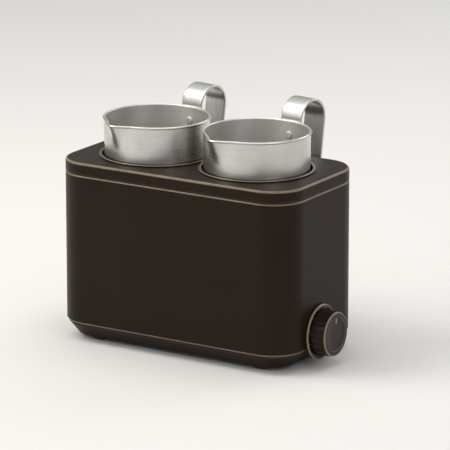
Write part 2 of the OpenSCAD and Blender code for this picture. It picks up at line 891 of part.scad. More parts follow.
module thermostat_nut() {
  color(dark_steel) translate([dial_seat_x, dial_y, dial_z]) rotate([0, 90, 0])
    hex_nut(bush_r, dial_nut_t, bush_r + 2.6);
}

module dial_ring() {
  edge = 0.9;
  color(black) translate([wall_x, dial_y, dial_z]) rotate([0, 90, 0]) difference() {
    union() {
      cylinder(r = dial_ring_r, h = dial_ring_t - edge);
      translate([0, 0, dial_ring_t - edge])
        cylinder(r1 = dial_ring_r, r2 = dial_ring_r - edge, h = edge);
    }
    translate([0, 0, dial_ring_t - dial_recess]) cylinder(r = knob_r + 0.8, h = dial_recess + past);
    translate([0, 0, -past]) cylinder(r = bush_r + running_gap, h = dial_ring_t + 2 * past);
  }
}

// Section of the knob: flared skirt, rounded face edge and a shallow dish
module knob_section() {
  depth = knob_face_x - knob_back_x;
  edge = 1.6;
  difference() {
    union() {
      polygon([[0, 0], [knob_r, 0], [knob_r - 0.6, depth - edge], [0, depth - edge]]);
      translate([0, depth - edge]) square([knob_r - 0.6 - edge, edge]);
      translate([knob_r - 0.6 - edge, depth - edge]) circle(edge);
    }
    translate([0, depth - 0.5]) square([knob_r - 4, 0.5 + past]);
    translate([bush_r + 1.2, -past]) square([knob_r - knob_skin - bush_r - 1.8, depth - knob_skin + past]);
    translate([0, -past]) square([bush_r + 1.3, bush_end_x - knob_back_x + 0.6 + past]);
  }
}

module knob() {
  depth = knob_face_x - knob_back_x;
  color(black) translate([knob_back_x, dial_y, dial_z]) rotate([0, 90, 0]) difference() {
    rotate_extrude() knob_section();
    for (turn = [0:flutes - 1]) rotate(turn * 360 / flutes)
      translate([knob_r + 0.5, 0, 2]) cylinder(r = 1.1, h = depth - 5);
    translate([-knob_r + 2.2, -0.6, depth - 1]) cube([6, 1.2, 2]);
    difference() {
      translate([0, 0, -past]) cylinder(r = shaft_r + running_gap, h = depth - knob_skin + past);
      translate([shaft_r - shaft_flat + running_gap, -shaft_r - past, -2 * past])
        cube([shaft_r, 2 * shaft_r + 2 * past, depth + past]);
    }
  }
}

module dial_shaft() {
  start = inside_x - thermostat_l + shaft_in + seat_gap;
  length = knob_face_x - knob_skin - 0.3 - start;
  color(steel) translate([0, dial_y, dial_z]) difference() {
    rod_x(start, shaft_r, length);
    translate([bush_end_x, -shaft_r - past, -shaft_r - past])
      cube([length, 2 * shaft_r + 2 * past, shaft_flat + past]);
  }
}

// ---- Wiring and cord inlet ----

module terminal_block() {
  color(ivory) difference() {
    translate([block_mid_x - block_x / 2, -block_y / 2, floor_z]) cube([block_x, block_y, block_h]);
    for (pole = [-1, 0, 1]) translate([0, pole * pole_step, 0]) {
      translate([0, 0, pole_z]) rod_x(block_mid_x - block_x / 2 - past, pole_r, block_x + 2 * past);
      for (x = [-1, 1]) translate([block_mid_x + x * terminal_step, 0, pole_z])
        cylinder(r = terminal_r + 2 * thread_gap, h = block_h);
    }
    for (y = [-1, 1]) translate([block_mid_x, y * peg_y, floor_z - past])
      cylinder(r = peg_r + running_gap, h = peg_h + seat_gap + past);
    for (y = [-1, 1]) translate([block_mid_x - block_x, y * pole_step / 2 - 1, floor_z + pole_slot_h])
      cube([2 * block_x, 2, block_h]);
  }
}

module terminal_screws() {
  color(dark_steel) for (pole = [-1, 0, 1], x = [-1, 1])
    translate([block_mid_x + x * terminal_step, pole * pole_step, pole_z + pole_r])
      cylinder(r = terminal_r, h = terminal_l);
}

// Direction of a vector
function unit(v) = v / norm(v);

// Points of the round bend at one corner of a lead's route
function bend(route, i) =
  let (corner = route[i],
       before = route[i - 1] - corner,
       after = route[i + 1] - corner,
       start = corner + min(lead_bend, norm(before) / 2.2) * unit(before),
       end = corner + min(lead_bend, norm(after) / 2.2) * unit(after))
  [for (t = [0:1 / bend_steps:1])
    (1 - t) * (1 - t) * start + 2 * t * (1 - t) * corner + t * t * end];

// The whole route with its bends rounded
function rounded_route(route) = concat(
  [route[0]],
  [for (i = [1:len(route) - 2]) each bend(route, i)],
  [route[len(route) - 1]]
);

// Ring of points round a place on the route, square to its direction
function lead_ring(centre, direction) =
  let (side = unit(cross(direction, [1, -1, 1])), up = cross(side, direction))
  [for (k = [0:lead_sides - 1])
    centre + lead_r * (cos(k * 360 / lead_sides) * side + sin(k * 360 / lead_sides) * up)];

// One insulated lead, swept along its route
module lead(route) {
  path = rounded_route(route);
  last = len(path) - 1;
  rings = [for (i = [0:last])
    each lead_ring(path[i], unit(path[min(i + 1, last)] - path[max(i - 1, 0)]))];
  skin = [for (i = [0:last - 1], k = [0:lead_sides - 1])
    let (a = i * lead_sides + k, b = i * lead_sides + (k + 1) % lead_sides)
    each [[a, b, a + lead_sides], [b, b + lead_sides, a + lead_sides]]];
  polyhedron(rings, concat(
    skin,
    [[for (k = [lead_sides - 1:-1:0]) k]],
    [[for (k = [0:lead_sides - 1]) last * lead_sides + k]]
  ));
}

block_in_x = block_face_x - lead_in;
tab_x = inside_x - thermostat_l - tab_l;
pin_x = element_end_x + pin_l;
drop_x = block_face_x + lead_room / 2;
low_z = floor_z + lead_bend;
fuse_end_x = fuse_l / 2 + 2;
fuse_lead_z = element_z - 0.8;
past_clamp_x = -(stud_x + clamp_w / 2 + 2 * lead_r);
under_z = (clamp_z + clamp_nut_z) / 2;

module lead_supply() {
  color([0.35, 0.2, 0.12]) lead([
    [block_in_x, -pole_step, pole_z],
    [drop_x, -pole_step, pole_z],
    [drop_x + 2 * lead_bend, -heater_d / 2, low_z],
    [tab_x - 2 * lead_bend, -heater_d / 2, low_z],
    [tab_x - lead_r, dial_y - tab_y, dial_z]
  ]);
}

module lead_heater() {
  color([0.7, 0.1, 0.08]) lead([
    [tab_x - lead_r, dial_y + tab_y, dial_z],
    [tab_x - lead_out, dial_y + tab_y, dial_z + lead_bend],
    [pin_x + lead_out, -element_y, element_z - lead_bend],
    [pin_x + lead_out, -element_y, element_z],
    [pin_x, -element_y, element_z]
  ]);
}

module lead_fuse_hot() {
  color([0.7, 0.1, 0.08]) lead([
    [pin_x, element_y, element_z],
    [pin_x + lead_out, element_y, element_z],
    [pin_x + lead_out, element_y / 2, fuse_lead_z],
    [fuse_end_x + lead_out, element_y / 2, fuse_lead_z],
    [fuse_end_x + lead_out, 0, fuse_z],
    [fuse_end_x, 0, fuse_z]
  ]);
}

module lead_fuse_cold() {
  color([0.15, 0.25, 0.6]) lead([
    [-fuse_end_x, 0, fuse_z],
    [-fuse_end_x - lead_out, 0, fuse_z],
    [-fuse_end_x - lead_out, element_y / 2, fuse_lead_z],
    [past_clamp_x, element_y / 2, fuse_lead_z],
    [past_clamp_x - lead_bend - 2, element_y / 2, under_z],
    [drop_x, element_y / 2, under_z],
    [drop_x, pole_step, pole_z],
    [block_in_x, pole_step, pole_z]
  ]);
}

// Earth lead, with the eye that a stud passes through
module lead_earth() {
  eye_rim = 2.2;
  eye_r = stud_r + eye_rim;
  eye_t = 1.2;
  neck_w = 3;
  neck_end_x = -stud_x - eye_r - neck_w / 2;
  eye_z = shield_nut_z - eye_t;
  color([0.2, 0.5, 0.15]) {
    translate([0, 0, eye_z]) difference() {
      union() {
        translate([-stud_x, 0, 0]) cylinder(r = eye_r, h = eye_t);
        translate([neck_end_x, -neck_w / 2, 0]) cube([eye_r, neck_w, eye_t]);
      }
      translate([-stud_x, 0, -past]) cylinder(r = stud_r + seat_gap, h = eye_t + 2 * past);
    }
    lead([
      [neck_end_x + lead_r, 0, eye_z + eye_t / 2],
      [neck_end_x - 2 * lead_bend, 0, eye_z - lead_bend],
      [drop_x, 0, pole_z],
      [block_in_x, 0, pole_z]
    ]);
  }
}

module cord_gland() {
  color(rubber_grey) translate([-inlet_x, back_y + gland_flange_t, inlet_z]) rotate([90, 0, 0])
    difference() {
      union() {
        translate([0, 0, gland_edge])
          cylinder(r = gland_r + gland_lap, h = gland_flange_t - gland_edge);
        cylinder(r1 = gland_r + gland_lap - gland_edge, r2 = gland_r + gland_lap, h = gland_edge);
        cylinder(r = gland_r, h = gland_l + gland_flange_t);
      }
      translate([0, 0, -past]) cylinder(r = inlet_r, h = gland_l + gland_flange_t + 2 * past);
    }
}

module gland_nut() {
  color(rubber_grey) translate([-inlet_x, back_y - wall, inlet_z]) rotate([90, 0, 0])
    hex_nut(gland_r, gland_nut_t, gland_r + gland_nut_rim);
}

placed() base_cover();
placed() foot(-1, -1);  // foot_front_left
placed() foot(1, -1);  // foot_front_right
placed() foot(-1, 1);  // foot_rear_left
placed() foot(1, 1);  // foot_rear_right
placed() housing();
placed() top_cover();
placed() ring(-1);  // ring_left
placed() ring(1);  // ring_right
placed() tank();
placed() tank_gasket();
placed() tank_screws();
placed() cup_stand();
placed() cup(-1);  // cup_left
placed() cup(1);  // cup_right
placed() handle(-1);  // handle_left
placed() handle(1);  // handle_right
placed() rivets(-1);  // rivets_left
placed() rivets(1);  // rivets_right
placed() heater_plate();
placed() heater_element();
placed() element_terminals();
placed() clamp_straps();
placed() stud_nuts(clamp_nut_z);  // clamp_nuts
placed() heat_shield();
placed() stud_nuts(shield_nut_z);  // shield_nuts
placed() thermal_fuse();
placed() fuse_clip();
placed() fuse_screws();
placed() thermostat();
placed() thermostat_nut();
placed() dial_ring();
placed() knob();
placed() dial_shaft();
placed() terminal_block();
placed() terminal_screws();
placed() lead_supply();
placed() lead_heater();
placed() lead_fuse_hot();
placed() lead_fuse_cold();
placed() lead_earth();
placed() cord_gland();
placed() gland_nut();
placed() base_screws();
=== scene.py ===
"""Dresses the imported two-cup sake warmer: materials, finer cups and handles, studio and camera.

Sizes are in millimetres where a name ends in _mm or a class says so, and in metres elsewhere.
"""

import logging
import math
from dataclasses import dataclass, field
from enum import Enum
from typing import Any

import bpy
import numpy as np
from mathutils import Matrix, Vector


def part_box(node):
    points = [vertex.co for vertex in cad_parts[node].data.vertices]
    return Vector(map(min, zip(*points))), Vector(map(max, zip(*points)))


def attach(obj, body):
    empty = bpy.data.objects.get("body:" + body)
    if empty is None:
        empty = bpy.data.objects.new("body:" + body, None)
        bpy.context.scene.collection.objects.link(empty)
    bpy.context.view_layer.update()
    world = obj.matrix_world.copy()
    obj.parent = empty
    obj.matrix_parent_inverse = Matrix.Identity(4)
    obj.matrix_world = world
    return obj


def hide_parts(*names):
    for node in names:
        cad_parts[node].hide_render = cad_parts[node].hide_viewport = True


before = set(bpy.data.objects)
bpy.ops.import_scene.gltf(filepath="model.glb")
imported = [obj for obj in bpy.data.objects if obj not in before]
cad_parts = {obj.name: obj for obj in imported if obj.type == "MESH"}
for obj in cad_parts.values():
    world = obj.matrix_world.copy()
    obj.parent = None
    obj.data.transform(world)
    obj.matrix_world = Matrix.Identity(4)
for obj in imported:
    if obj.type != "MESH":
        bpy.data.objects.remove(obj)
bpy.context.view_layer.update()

MM = 0.001
WHITE_LEVEL = 1.0
# The colour sockets of the Mix node, and its colour output
MIX_A, MIX_B, MIX_OUT = 6, 7, 2
RUN_ATTRIBUTE = "run"
EDGE_SAMPLES = 6
# Radius of the smallest ring in the middle of a turned face
HUB_MM = 0.2
# Stops of the painted highlight mask, by how far a surface faces along the axis that the highlight
# is laid from
HIGHLIGHT_SLOPE_STOPS = ((0.15, "#000000"), (0.4, "#FFFFFF"), (0.85, "#FFFFFF"), (0.97, "#000000"))

Inputs = dict[str | int, Any]

log = logging.getLogger("sake_warmer")


class Side(Enum):
    """Which of the two cups a piece belongs to."""

    LEFT = "left"
    RIGHT = "right"


# ---- Colour, nodes and meshes ----


def linear(hex_colour: str) -> tuple[float, float, float, float]:
    """Turns an sRGB hex colour into linear values.

    Args:
        hex_colour: Colour as #RRGGBB.

    Returns:
        Red, green and blue in linear light, and an alpha of one.
    """
    parts = [int(hex_colour[i : i + 2], 16) / 255 for i in (1, 3, 5)]
    red, green, blue = (c / 12.92 if c <= 0.04045 else ((c + 0.055) / 1.055) ** 2.4 for c in parts)
    return (red, green, blue, 1.0)


def add_node(
    tree: bpy.types.NodeTree,
    kind: str,
    settings: dict[str, Any] | None = None,
    inputs: Inputs | None = None,
    stops: tuple[tuple[float, str], ...] = (),
) -> bpy.types.Node:
    """Adds a node with its settings and links.

    Args:
        tree: Node tree that gets the node.
        kind: Blender's name of the node type.
        settings: Properties of the node and their values.
        inputs: Input sockets, by name or number, and the socket or value that goes in.
        stops: Place from 0 to 1 and hex colour of each stop of a colour ramp, in order.

    Returns:
        The new node.
    """
    node = tree.nodes.new(kind)
    for name, value in (settings or {}).items():
        setattr(node, name, value)
    for key, value in (inputs or {}).items():
        if isinstance(value, bpy.types.NodeSocket):
            tree.links.new(value, node.inputs[key])
        else:
            node.inputs[key].default_value = value
    for number, (place, colour) in enumerate(stops):
        ramp = node.color_ramp.elements
        stop = ramp[number] if number < len(ramp) else ramp.new(place)
        stop.position, stop.color = place, linear(colour)
    return node


def sized(place: bpy.types.NodeSocket, size_mm: float, **shape: float) -> Inputs:
    """Gives the inputs of a pattern of a real size.

    Args:
        place: Where on the piece a point lies, in metres.
        size_mm: Real size of one grain, band or wave.
        shape: Other inputs of the pattern.

    Returns:
        The inputs for the pattern's node.
    """
    return {"Vector": place, "Scale": 1 / (size_mm * MM), **shape}


def skin(
    name: str,
    rings: list[np.ndarray],
    run: list[np.ndarray] | None = None,
    sharp_deg: float = 40,
) -> bpy.types.Object:
    """Makes a closed mesh through rings of points, with a face over each end.

    Args:
        name: Name of the object.
        rings: Rings of equally many points in millimetres, in order along the form.
        run: Place of each point on the flat sheet, for a pattern that follows the form.
        sharp_deg: Angle between faces above which an edge is drawn sharp.

    Returns:
        The new object, linked to the scene.
    """
    count = len(rings[0])
    points = np.concatenate(rings) * MM
    around = np.arange(count)
    faces: list[tuple[int, ...]] = []
    for level in range(len(rings) - 1):
        low, high = level * count, (level + 1) * count
        for a, b in zip(around, np.roll(around, -1)):
            faces.append((low + a, low + b, high + b, high + a))
    faces.append(tuple(int(k) for k in around[::-1]))
    faces.append(tuple(int(k) + (len(rings) - 1) * count for k in around))
    mesh = bpy.data.meshes.new(name)
    mesh.from_pydata([tuple(p) for p in points], [], [tuple(int(k) for k in f) for f in faces])
    if run is not None:
        attribute = mesh.attributes.new(RUN_ATTRIBUTE, "FLOAT_VECTOR", "POINT")
        attribute.data.foreach_set("vector", (np.concatenate(run) * MM).astype(np.float32).ravel())
    mesh.validate()
    mesh.update()
    volume = sum(
        (mesh.vertices[p.vertices[0]].co.cross(mesh.vertices[p.vertices[1]].co)).dot(
            mesh.vertices[p.vertices[2]].co
        )
        for p in mesh.polygons
        if len(p.vertices) == 4
    )
    if volume < 0:
        mesh.flip_normals()
    mesh.shade_smooth()
    mesh.set_sharp_from_angle(angle=math.radians(sharp_deg))
    piece = bpy.data.objects.new(name, mesh)
    bpy.context.scene.collection.objects.link(piece)
    return piece


def revolved(profile: list[tuple[float, float]], steps: int = 96) -> list[np.ndarray]:
    """Turns a profile round the Z axis.

    Args:
        profile: Radius and height of each ring in millimetres.
        steps: Number of points on a ring.

    Returns:
        The rings of points.
    """
    turns = np.linspace(0, 2 * math.pi, steps, endpoint=False)
    return [
        np.stack([r * np.cos(turns), r * np.sin(turns), np.full(steps, z)], axis=1)
        for r, z in profile
    ]


def arc(
    centre: tuple[float, float], radius: float, start_deg: float, end_deg: float, steps: int
) -> list[tuple[float, float]]:
    """Points on an arc, ends included.

    Args:
        centre: Middle of the arc.
        radius: Radius of the arc.
        start_deg: Angle of the first point.
        end_deg: Angle of the last point.
        steps: Number of points.

    Returns:
        The points, as pairs.
    """
    turns = np.radians(np.linspace(start_deg, end_deg, steps))
    return [(centre[0] + radius * math.cos(t), centre[1] + radius * math.sin(t)) for t in turns]


# ---- Finishes ----


@dataclass(frozen=True)
class Finish:
    """What each finish has: a name, a colour and how it reflects."""

    name: str
    colour: str
    roughness: float
    metallic: float = 0.0
    ior: float = 1.5
    edge_mm: float = 0.3
    specular: float = 0.5
    # Axis that the sloping rounds of the painted highlight face towards
    highlight_axis: tuple[float, float, float] = (0.0, 0.0, 1.0)

    def material(self) -> bpy.types.Material:
        """Makes the material, or gives the one made before.

        Returns:
            The material.
        """
        found = bpy.data.materials.get(self.name)
        if found:
            return found
        made = bpy.data.materials.new(self.name)
        made.use_nodes = True
        tree = made.node_tree
        tree.nodes.clear()
        base: Inputs = {
            "Base Color": linear(self.colour),
            "Roughness": self.roughness,
            "Metallic": self.metallic,
            "IOR": self.ior,
            "Specular IOR Level": self.specular,
        }
        base |= self.detail(tree)
        shader = add_node(tree, "ShaderNodeBsdfPrincipled", inputs=base)
        add_node(tree, "ShaderNodeOutputMaterial", inputs={"Surface": shader.outputs[0]})
        made.diffuse_color = linear(self.colour)
        made.roughness = self.roughness
        made.metallic = self.metallic
        return made

    def detail(self, tree: bpy.types.NodeTree) -> Inputs:
        """Adds what this finish shows close up and gives the shader's inputs; each has its own."""
        return {}

    def softened(self, tree: bpy.types.NodeTree) -> bpy.types.NodeSocket:
        """Rounds the edges as moulding, plating or tumbling does, and gives the normal."""
        radius = {"Radius": self.edge_mm * MM}
        return add_node(tree, "ShaderNodeBevel", {"samples": EDGE_SAMPLES}, radius).outputs[0]

    def edges(
        self, tree: bpy.types.NodeTree, soft: bpy.types.NodeSocket
    ) -> bpy.types.NodeSocket:
        """Finds the sharp edges, where the softened normal turns away from the plain one.

        Args:
            tree: Node tree of the material.
            soft: The softened normal.

        Returns:
            A mask that is one on a sharp edge.
        """
        plain = add_node(tree, "ShaderNodeNewGeometry").outputs["Normal"]
        turned = add_node(
            tree, "ShaderNodeVectorMath", {"operation": "DOT_PRODUCT"}, {0: soft, 1: plain}
        ).outputs["Value"]
        return add_node(
            tree,
            "ShaderNodeMapRange",
            inputs={"Value": turned, "From Min": 0.99, "From Max": 0.91},
        ).outputs[0]

    def slope_highlight_mask(self, tree: bpy.types.NodeTree) -> bpy.types.NodeSocket:
        """Finds the rounds and chamfers that slope towards the axis, where a painted highlight
        goes.

        Args:
            tree: Node tree of the material.

        Returns:
            A mask that is one where the surface slopes, and nothing where it is flat.
        """
        normal = add_node(tree, "ShaderNodeTexCoord").outputs["Normal"]
        rise = add_node(
            tree,
            "ShaderNodeVectorMath",
            {"operation": "DOT_PRODUCT"},
            {0: normal, 1: self.highlight_axis},
        ).outputs["Value"]
        return add_node(
            tree, "ShaderNodeValToRGB", inputs={"Fac": rise}, stops=HIGHLIGHT_SLOPE_STOPS
        ).outputs[0]


@dataclass(frozen=True)
class SparkErodedMoulding(Finish):
    """Plastic moulded against a spark-eroded tool."""

    # ABS from an eroded tool: a fine even matt grain that breaks highlights up, smoother and with a
    # painted highlight along the edges, sloping rounds and joint lines, and slow changes of tone
    # from the flow.
    grain_mm: float = 0.55
    grain_depth_mm: float = 0.012
    grain_gloss: float = 0.07
    flow_mm: float = 38.0
    patch_mm: float = 9.0
    # Colour of the painted highlight on edges, sloping rounds and joint lines, and how much
    # smoother the surface is there
    painted_highlight: str = "#978672"
    highlight_gloss: float = 0.16
    patch_least: float = 0.35
    patch_range: float = 0.6
    tone: str = "#1C130C"
    joint_lines_mm: tuple[float, ...] = (13.65, 120.25)
    joint_half_mm: float = 0.6

    def detail(self, tree: bpy.types.NodeTree) -> Inputs:
        """Adds grain, flow marks, and a painted highlight with less roughness on edges, sloping
        rounds and joints.

        Args:
            tree: Node tree of the material.

        Returns:
            The shader's inputs.
        """
        soft = self.softened(tree)
        place = add_node(tree, "ShaderNodeTexCoord").outputs["Object"]
        height = add_node(tree, "ShaderNodeSeparateXYZ", inputs={0: place}).outputs["Z"]
        # Where the painted highlight goes: sharp edges and sloping rounds.
        painted_highlight = add_node(
            tree,
            "ShaderNodeMath",
            {"operation": "MAXIMUM"},
            {0: self.edges(tree, soft), 1: self.slope_highlight_mask(tree)},
        ).outputs[0]
        # Painted highlight lines round the shell at its joints, at the base and at the parting
        # line.
        for line in self.joint_lines_mm:
            band = add_node(
                tree,
                "ShaderNodeMath",
                {"operation": "COMPARE"},
                {0: height, 1: line * MM, 2: self.joint_half_mm * MM},
            ).outputs[0]
            painted_highlight = add_node(
                tree, "ShaderNodeMath", {"operation": "MAXIMUM"}, {0: painted_highlight, 1: band}
            ).outputs[0]
        # The real grain is about 0.15 mm; it is drawn coarser, so that it shows at all.
        grain = add_node(
            tree,
            "ShaderNodeTexNoise",
            inputs=sized(place, self.grain_mm, Detail=3.0, Roughness=0.6),
        ).outputs[0]
        flow = add_node(
            tree,
            "ShaderNodeTexNoise",
            inputs=sized(place, self.flow_mm, Detail=4.0, Roughness=0.55),
        ).outputs[0]
        body = add_node(
            tree,
            "ShaderNodeMix",
            {"data_type": "RGBA"},
            {0: flow, MIX_A: linear(self.tone), MIX_B: linear(self.colour)},
        ).outputs[MIX_OUT]
        patchy = add_node(
            tree,
            "ShaderNodeTexNoise",
            inputs=sized(place, self.patch_mm, Detail=5.0, Roughness=0.7),
        ).outputs[0]
        uneven = add_node(
            tree,
            "ShaderNodeMath",
            {"operation": "MULTIPLY_ADD"},
            {0: patchy, 1: self.patch_range, 2: self.patch_least},
        ).outputs[0]
        highlight_mask = add_node(
            tree, "ShaderNodeMath", {"operation": "MULTIPLY"}, {0: painted_highlight, 1: uneven}
        ).outputs[0]
        # Painted highlight: a lighter colour mixed in, patchily, on edges, sloping rounds and joint
        # lines.
        colour = add_node(
            tree,
            "ShaderNodeMix",
            {"data_type": "RGBA"},
            {0: highlight_mask, MIX_A: body, MIX_B: linear(self.painted_highlight)},
        ).outputs[MIX_OUT]
        rough = add_node(
            tree,
            "ShaderNodeMapRange",
            inputs={
                "Value": grain,
                "From Min": 0.25,
                "From Max": 0.75,
                "To Min": self.roughness - self.grain_gloss,
                "To Max": self.roughness + self.grain_gloss,
            },
        ).outputs[0]
        smoother = add_node(
            tree,
            "ShaderNodeMath",
            {"operation": "MULTIPLY_ADD"},
            {0: highlight_mask, 1: -self.highlight_gloss, 2: rough},
        ).outputs[0]
        relief = add_node(
            tree,
            "ShaderNodeBump",
            inputs={
                "Strength": 1.0,
                "Distance": self.grain_depth_mm * MM,
                "Height": grain,
                "Normal": soft,
            },
        ).outputs[0]
        return {"Base Color": colour, "Roughness": smoother, "Normal": relief}


@dataclass(frozen=True)
class PolishedMoulding(Finish):
    """Plastic moulded against a polished tool."""

    # ABS from a polished tool: a satin gloss with the faint waviness of the mould, a few
    # hair-fine wiping scratches that only show inside a highlight, and a painted highlight on the
    # sloping rounds.
    wave_mm: float = 7.0
    wave_depth_mm: float = 0.03
    scratch_mm: float = 0.5
    scratch_stretch: float = 0.06
    scratch_gloss: float = 0.03
    scratch_haze: float = 0.1
    # Colour of the painted highlight on sloping rounds
    painted_highlight: str = "#85745F"

    def detail(self, tree: bpy.types.NodeTree) -> Inputs:
        """Adds waviness, wiping scratches and a painted highlight on sloping rounds.

        Args:
            tree: Node tree of the material.

        Returns:
            The shader's inputs.
        """
        place = add_node(tree, "ShaderNodeTexCoord").outputs["Object"]
        wave = add_node(
            tree, "ShaderNodeTexNoise", inputs=sized(place, self.wave_mm, Detail=1.0)
        ).outputs[0]
        stretched = add_node(
            tree,
            "ShaderNodeMapping",
            inputs={"Vector": place, "Scale": (1.0, 1.0, self.scratch_stretch)},
        ).outputs[0]
        wipe = add_node(
            tree,
            "ShaderNodeTexNoise",
            inputs=sized(stretched, self.scratch_mm, Detail=2.0, Roughness=0.7),
        ).outputs[0]
        rough = add_node(
            tree,
            "ShaderNodeMapRange",
            inputs={
                "Value": wipe,
                "From Min": 0.3,
                "From Max": 0.8,
                "To Min": self.roughness - self.scratch_gloss,
                "To Max": self.roughness + self.scratch_haze,
            },
        ).outputs[0]
        # Painted highlight: the rounds that slope towards the axis get a lighter colour.
        colour = add_node(
            tree,
            "ShaderNodeMix",
            {"data_type": "RGBA"},
            {0: self.slope_highlight_mask(tree), MIX_A: linear(self.colour), MIX_B: linear(self.painted_highlight)},
        ).outputs[MIX_OUT]
        relief = add_node(
            tree,
            "ShaderNodeBump",
            inputs={
                "Strength": 0.6,
                "Distance": self.wave_depth_mm * MM,
                "Height": wave,
                "Normal": self.softened(tree),
            },
        ).outputs[0]
        return {"Base Color": colour, "Roughness": rough, "Normal": relief}


@dataclass(frozen=True)
class PadPrint(Finish):
    """Ink pad printed on plastic."""

    # Pad-printed ink: flat and matt, a little thin and uneven where the pad lifted off.
    cover_mm: float = 0.5
    thin: str = "#8E8375"

    def detail(self, tree: bpy.types.NodeTree) -> Inputs:
        """Adds the uneven cover of the ink.

        Args:
            tree: Node tree of the material.

        Returns:
            The shader's inputs.
        """
        place = add_node(tree, "ShaderNodeTexCoord").outputs["Object"]
        cover = add_node(
            tree,
            "ShaderNodeTexNoise",
            inputs=sized(place, self.cover_mm, Detail=3.0, Roughness=0.6),
        ).outputs[0]
        colour = add_node(
            tree,
            "ShaderNodeMix",
            {"data_type": "RGBA"},
            {0: cover, MIX_A: linear(self.thin), MIX_B: linear(self.colour)},
        ).outputs[MIX_OUT]
        return {"Base Color": colour}


@dataclass(frozen=True)
class MouldedRubber(Finish):
    """Rubber or silicone from a plain mould."""

    # Moulded elastomer: dull, a touch velvety, with fine specks of dust that it holds on to.
    skin_mm: float = 0.8
    skin_depth_mm: float = 0.02
    dust: str = "#4A4642"

    def detail(self, tree: bpy.types.NodeTree) -> Inputs:
        """Adds a fine skin and specks of dust.

        Args:
            tree: Node tree of the material.

        Returns:
            The shader's inputs.
        """
        place = add_node(tree, "ShaderNodeTexCoord").outputs["Object"]
        grain = add_node(
            tree,
            "ShaderNodeTexNoise",
            inputs=sized(place, self.skin_mm, Detail=4.0, Roughness=0.65),
        ).outputs[0]
        speck = add_node(
            tree,
            "ShaderNodeMapRange",
            inputs={"Value": grain, "From Min": 0.6, "From Max": 0.72, "To Max": 0.5},
        ).outputs[0]
        colour = add_node(
            tree,
            "ShaderNodeMix",
            {"data_type": "RGBA"},
            {0: speck, MIX_A: linear(self.colour), MIX_B: linear(self.dust)},
        ).outputs[MIX_OUT]
        relief = add_node(
            tree,
            "ShaderNodeBump",
            inputs={
                "Strength": 0.8,
                "Distance": self.skin_depth_mm * MM,
                "Height": grain,
                "Normal": self.softened(tree),
            },
        ).outputs[0]
        return {"Base Color": colour, "Normal": relief}


@dataclass(frozen=True)
class TurnedAnodised(Finish):
    """Aluminium spun and turned, then satin anodised."""

    # Anodised aluminium, turned on a lathe: a soft silver with hair-fine bands round the
    # form, which draw each light out along the axis, and a slightly deeper tone between them.
    band_mm: float = 0.45
    band_depth_mm: float = 0.006
    band_stretch: float = 0.01
    band_gloss: float = 0.05
    band_haze: float = 0.06
    cloud_mm: float = 22.0
    shade: str = "#C6C5C1"
    inside_roughness: float = 0.2
    anisotropy: float = 0.45
    anisotropy_turn: float = 0.25

    def detail(self, tree: bpy.types.NodeTree) -> Inputs:
        """Adds turning bands, a stretched highlight and a rougher inside.

        Args:
            tree: Node tree of the material.

        Returns:
            The shader's inputs.
        """
        place = add_node(tree, "ShaderNodeTexCoord").outputs["Object"]
        # Real turning marks are 0.1 mm apart; they are drawn four times coarser to show.
        flat = add_node(
            tree,
            "ShaderNodeMapping",
            inputs={"Vector": place, "Scale": (self.band_stretch, self.band_stretch, 1.0)},
        ).outputs[0]
        bands = add_node(
            tree, "ShaderNodeTexNoise", inputs=sized(flat, self.band_mm, Detail=4.0, Roughness=0.65)
        ).outputs[0]
        cloud = add_node(
            tree,
            "ShaderNodeTexNoise",
            inputs=sized(place, self.cloud_mm, Detail=3.0, Roughness=0.5),
        ).outputs[0]
        both = add_node(
            tree, "ShaderNodeMath", {"operation": "MULTIPLY"}, {0: bands, 1: cloud}
        ).outputs[0]
        tone = add_node(
            tree,
            "ShaderNodeMapRange",
            inputs={"Value": both, "From Min": 0.12, "From Max": 0.42},
        ).outputs[0]
        colour = add_node(
            tree,
            "ShaderNodeMix",
            {"data_type": "RGBA"},
            {0: tone, MIX_A: linear(self.shade), MIX_B: linear(self.colour)},
        ).outputs[MIX_OUT]
        rough = add_node(
            tree,
            "ShaderNodeMapRange",
            inputs={
                "Value": bands,
                "From Min": 0.3,
                "From Max": 0.7,
                "To Min": self.roughness - self.band_gloss,
                "To Max": self.roughness + self.band_haze,
            },
        ).outputs[0]
        # The inside is left as spun, which is rougher and scatters light about the cup.
        normal = add_node(tree, "ShaderNodeTexCoord").outputs["Normal"]
        level = add_node(
            tree, "ShaderNodeVectorMath", {"operation": "MULTIPLY"}, {0: place, 1: (1.0, 1.0, 0.0)}
        ).outputs[0]
        outward = add_node(
            tree, "ShaderNodeVectorMath", {"operation": "DOT_PRODUCT"}, {0: normal, 1: level}
        ).outputs["Value"]
        inside = add_node(
            tree, "ShaderNodeMath", {"operation": "LESS_THAN"}, {0: outward, 1: 0.0}
        ).outputs[0]
        spun = add_node(
            tree,
            "ShaderNodeMath",
            {"operation": "MULTIPLY_ADD"},
            {0: inside, 1: self.inside_roughness, 2: rough},
        ).outputs[0]
        around = add_node(
            tree, "ShaderNodeTangent", {"direction_type": "RADIAL", "axis": "Z"}
        ).outputs[0]
        relief = add_node(
            tree,
            "ShaderNodeBump",
            inputs={"Strength": 0.5, "Distance": self.band_depth_mm * MM, "Height": bands},
        ).outputs[0]
        return {
            "Base Color": colour,
            "Roughness": spun,
            "Anisotropic": self.anisotropy,
            "Anisotropic Rotation": self.anisotropy_turn,
            "Tangent": around,
            "Normal": relief,
        }


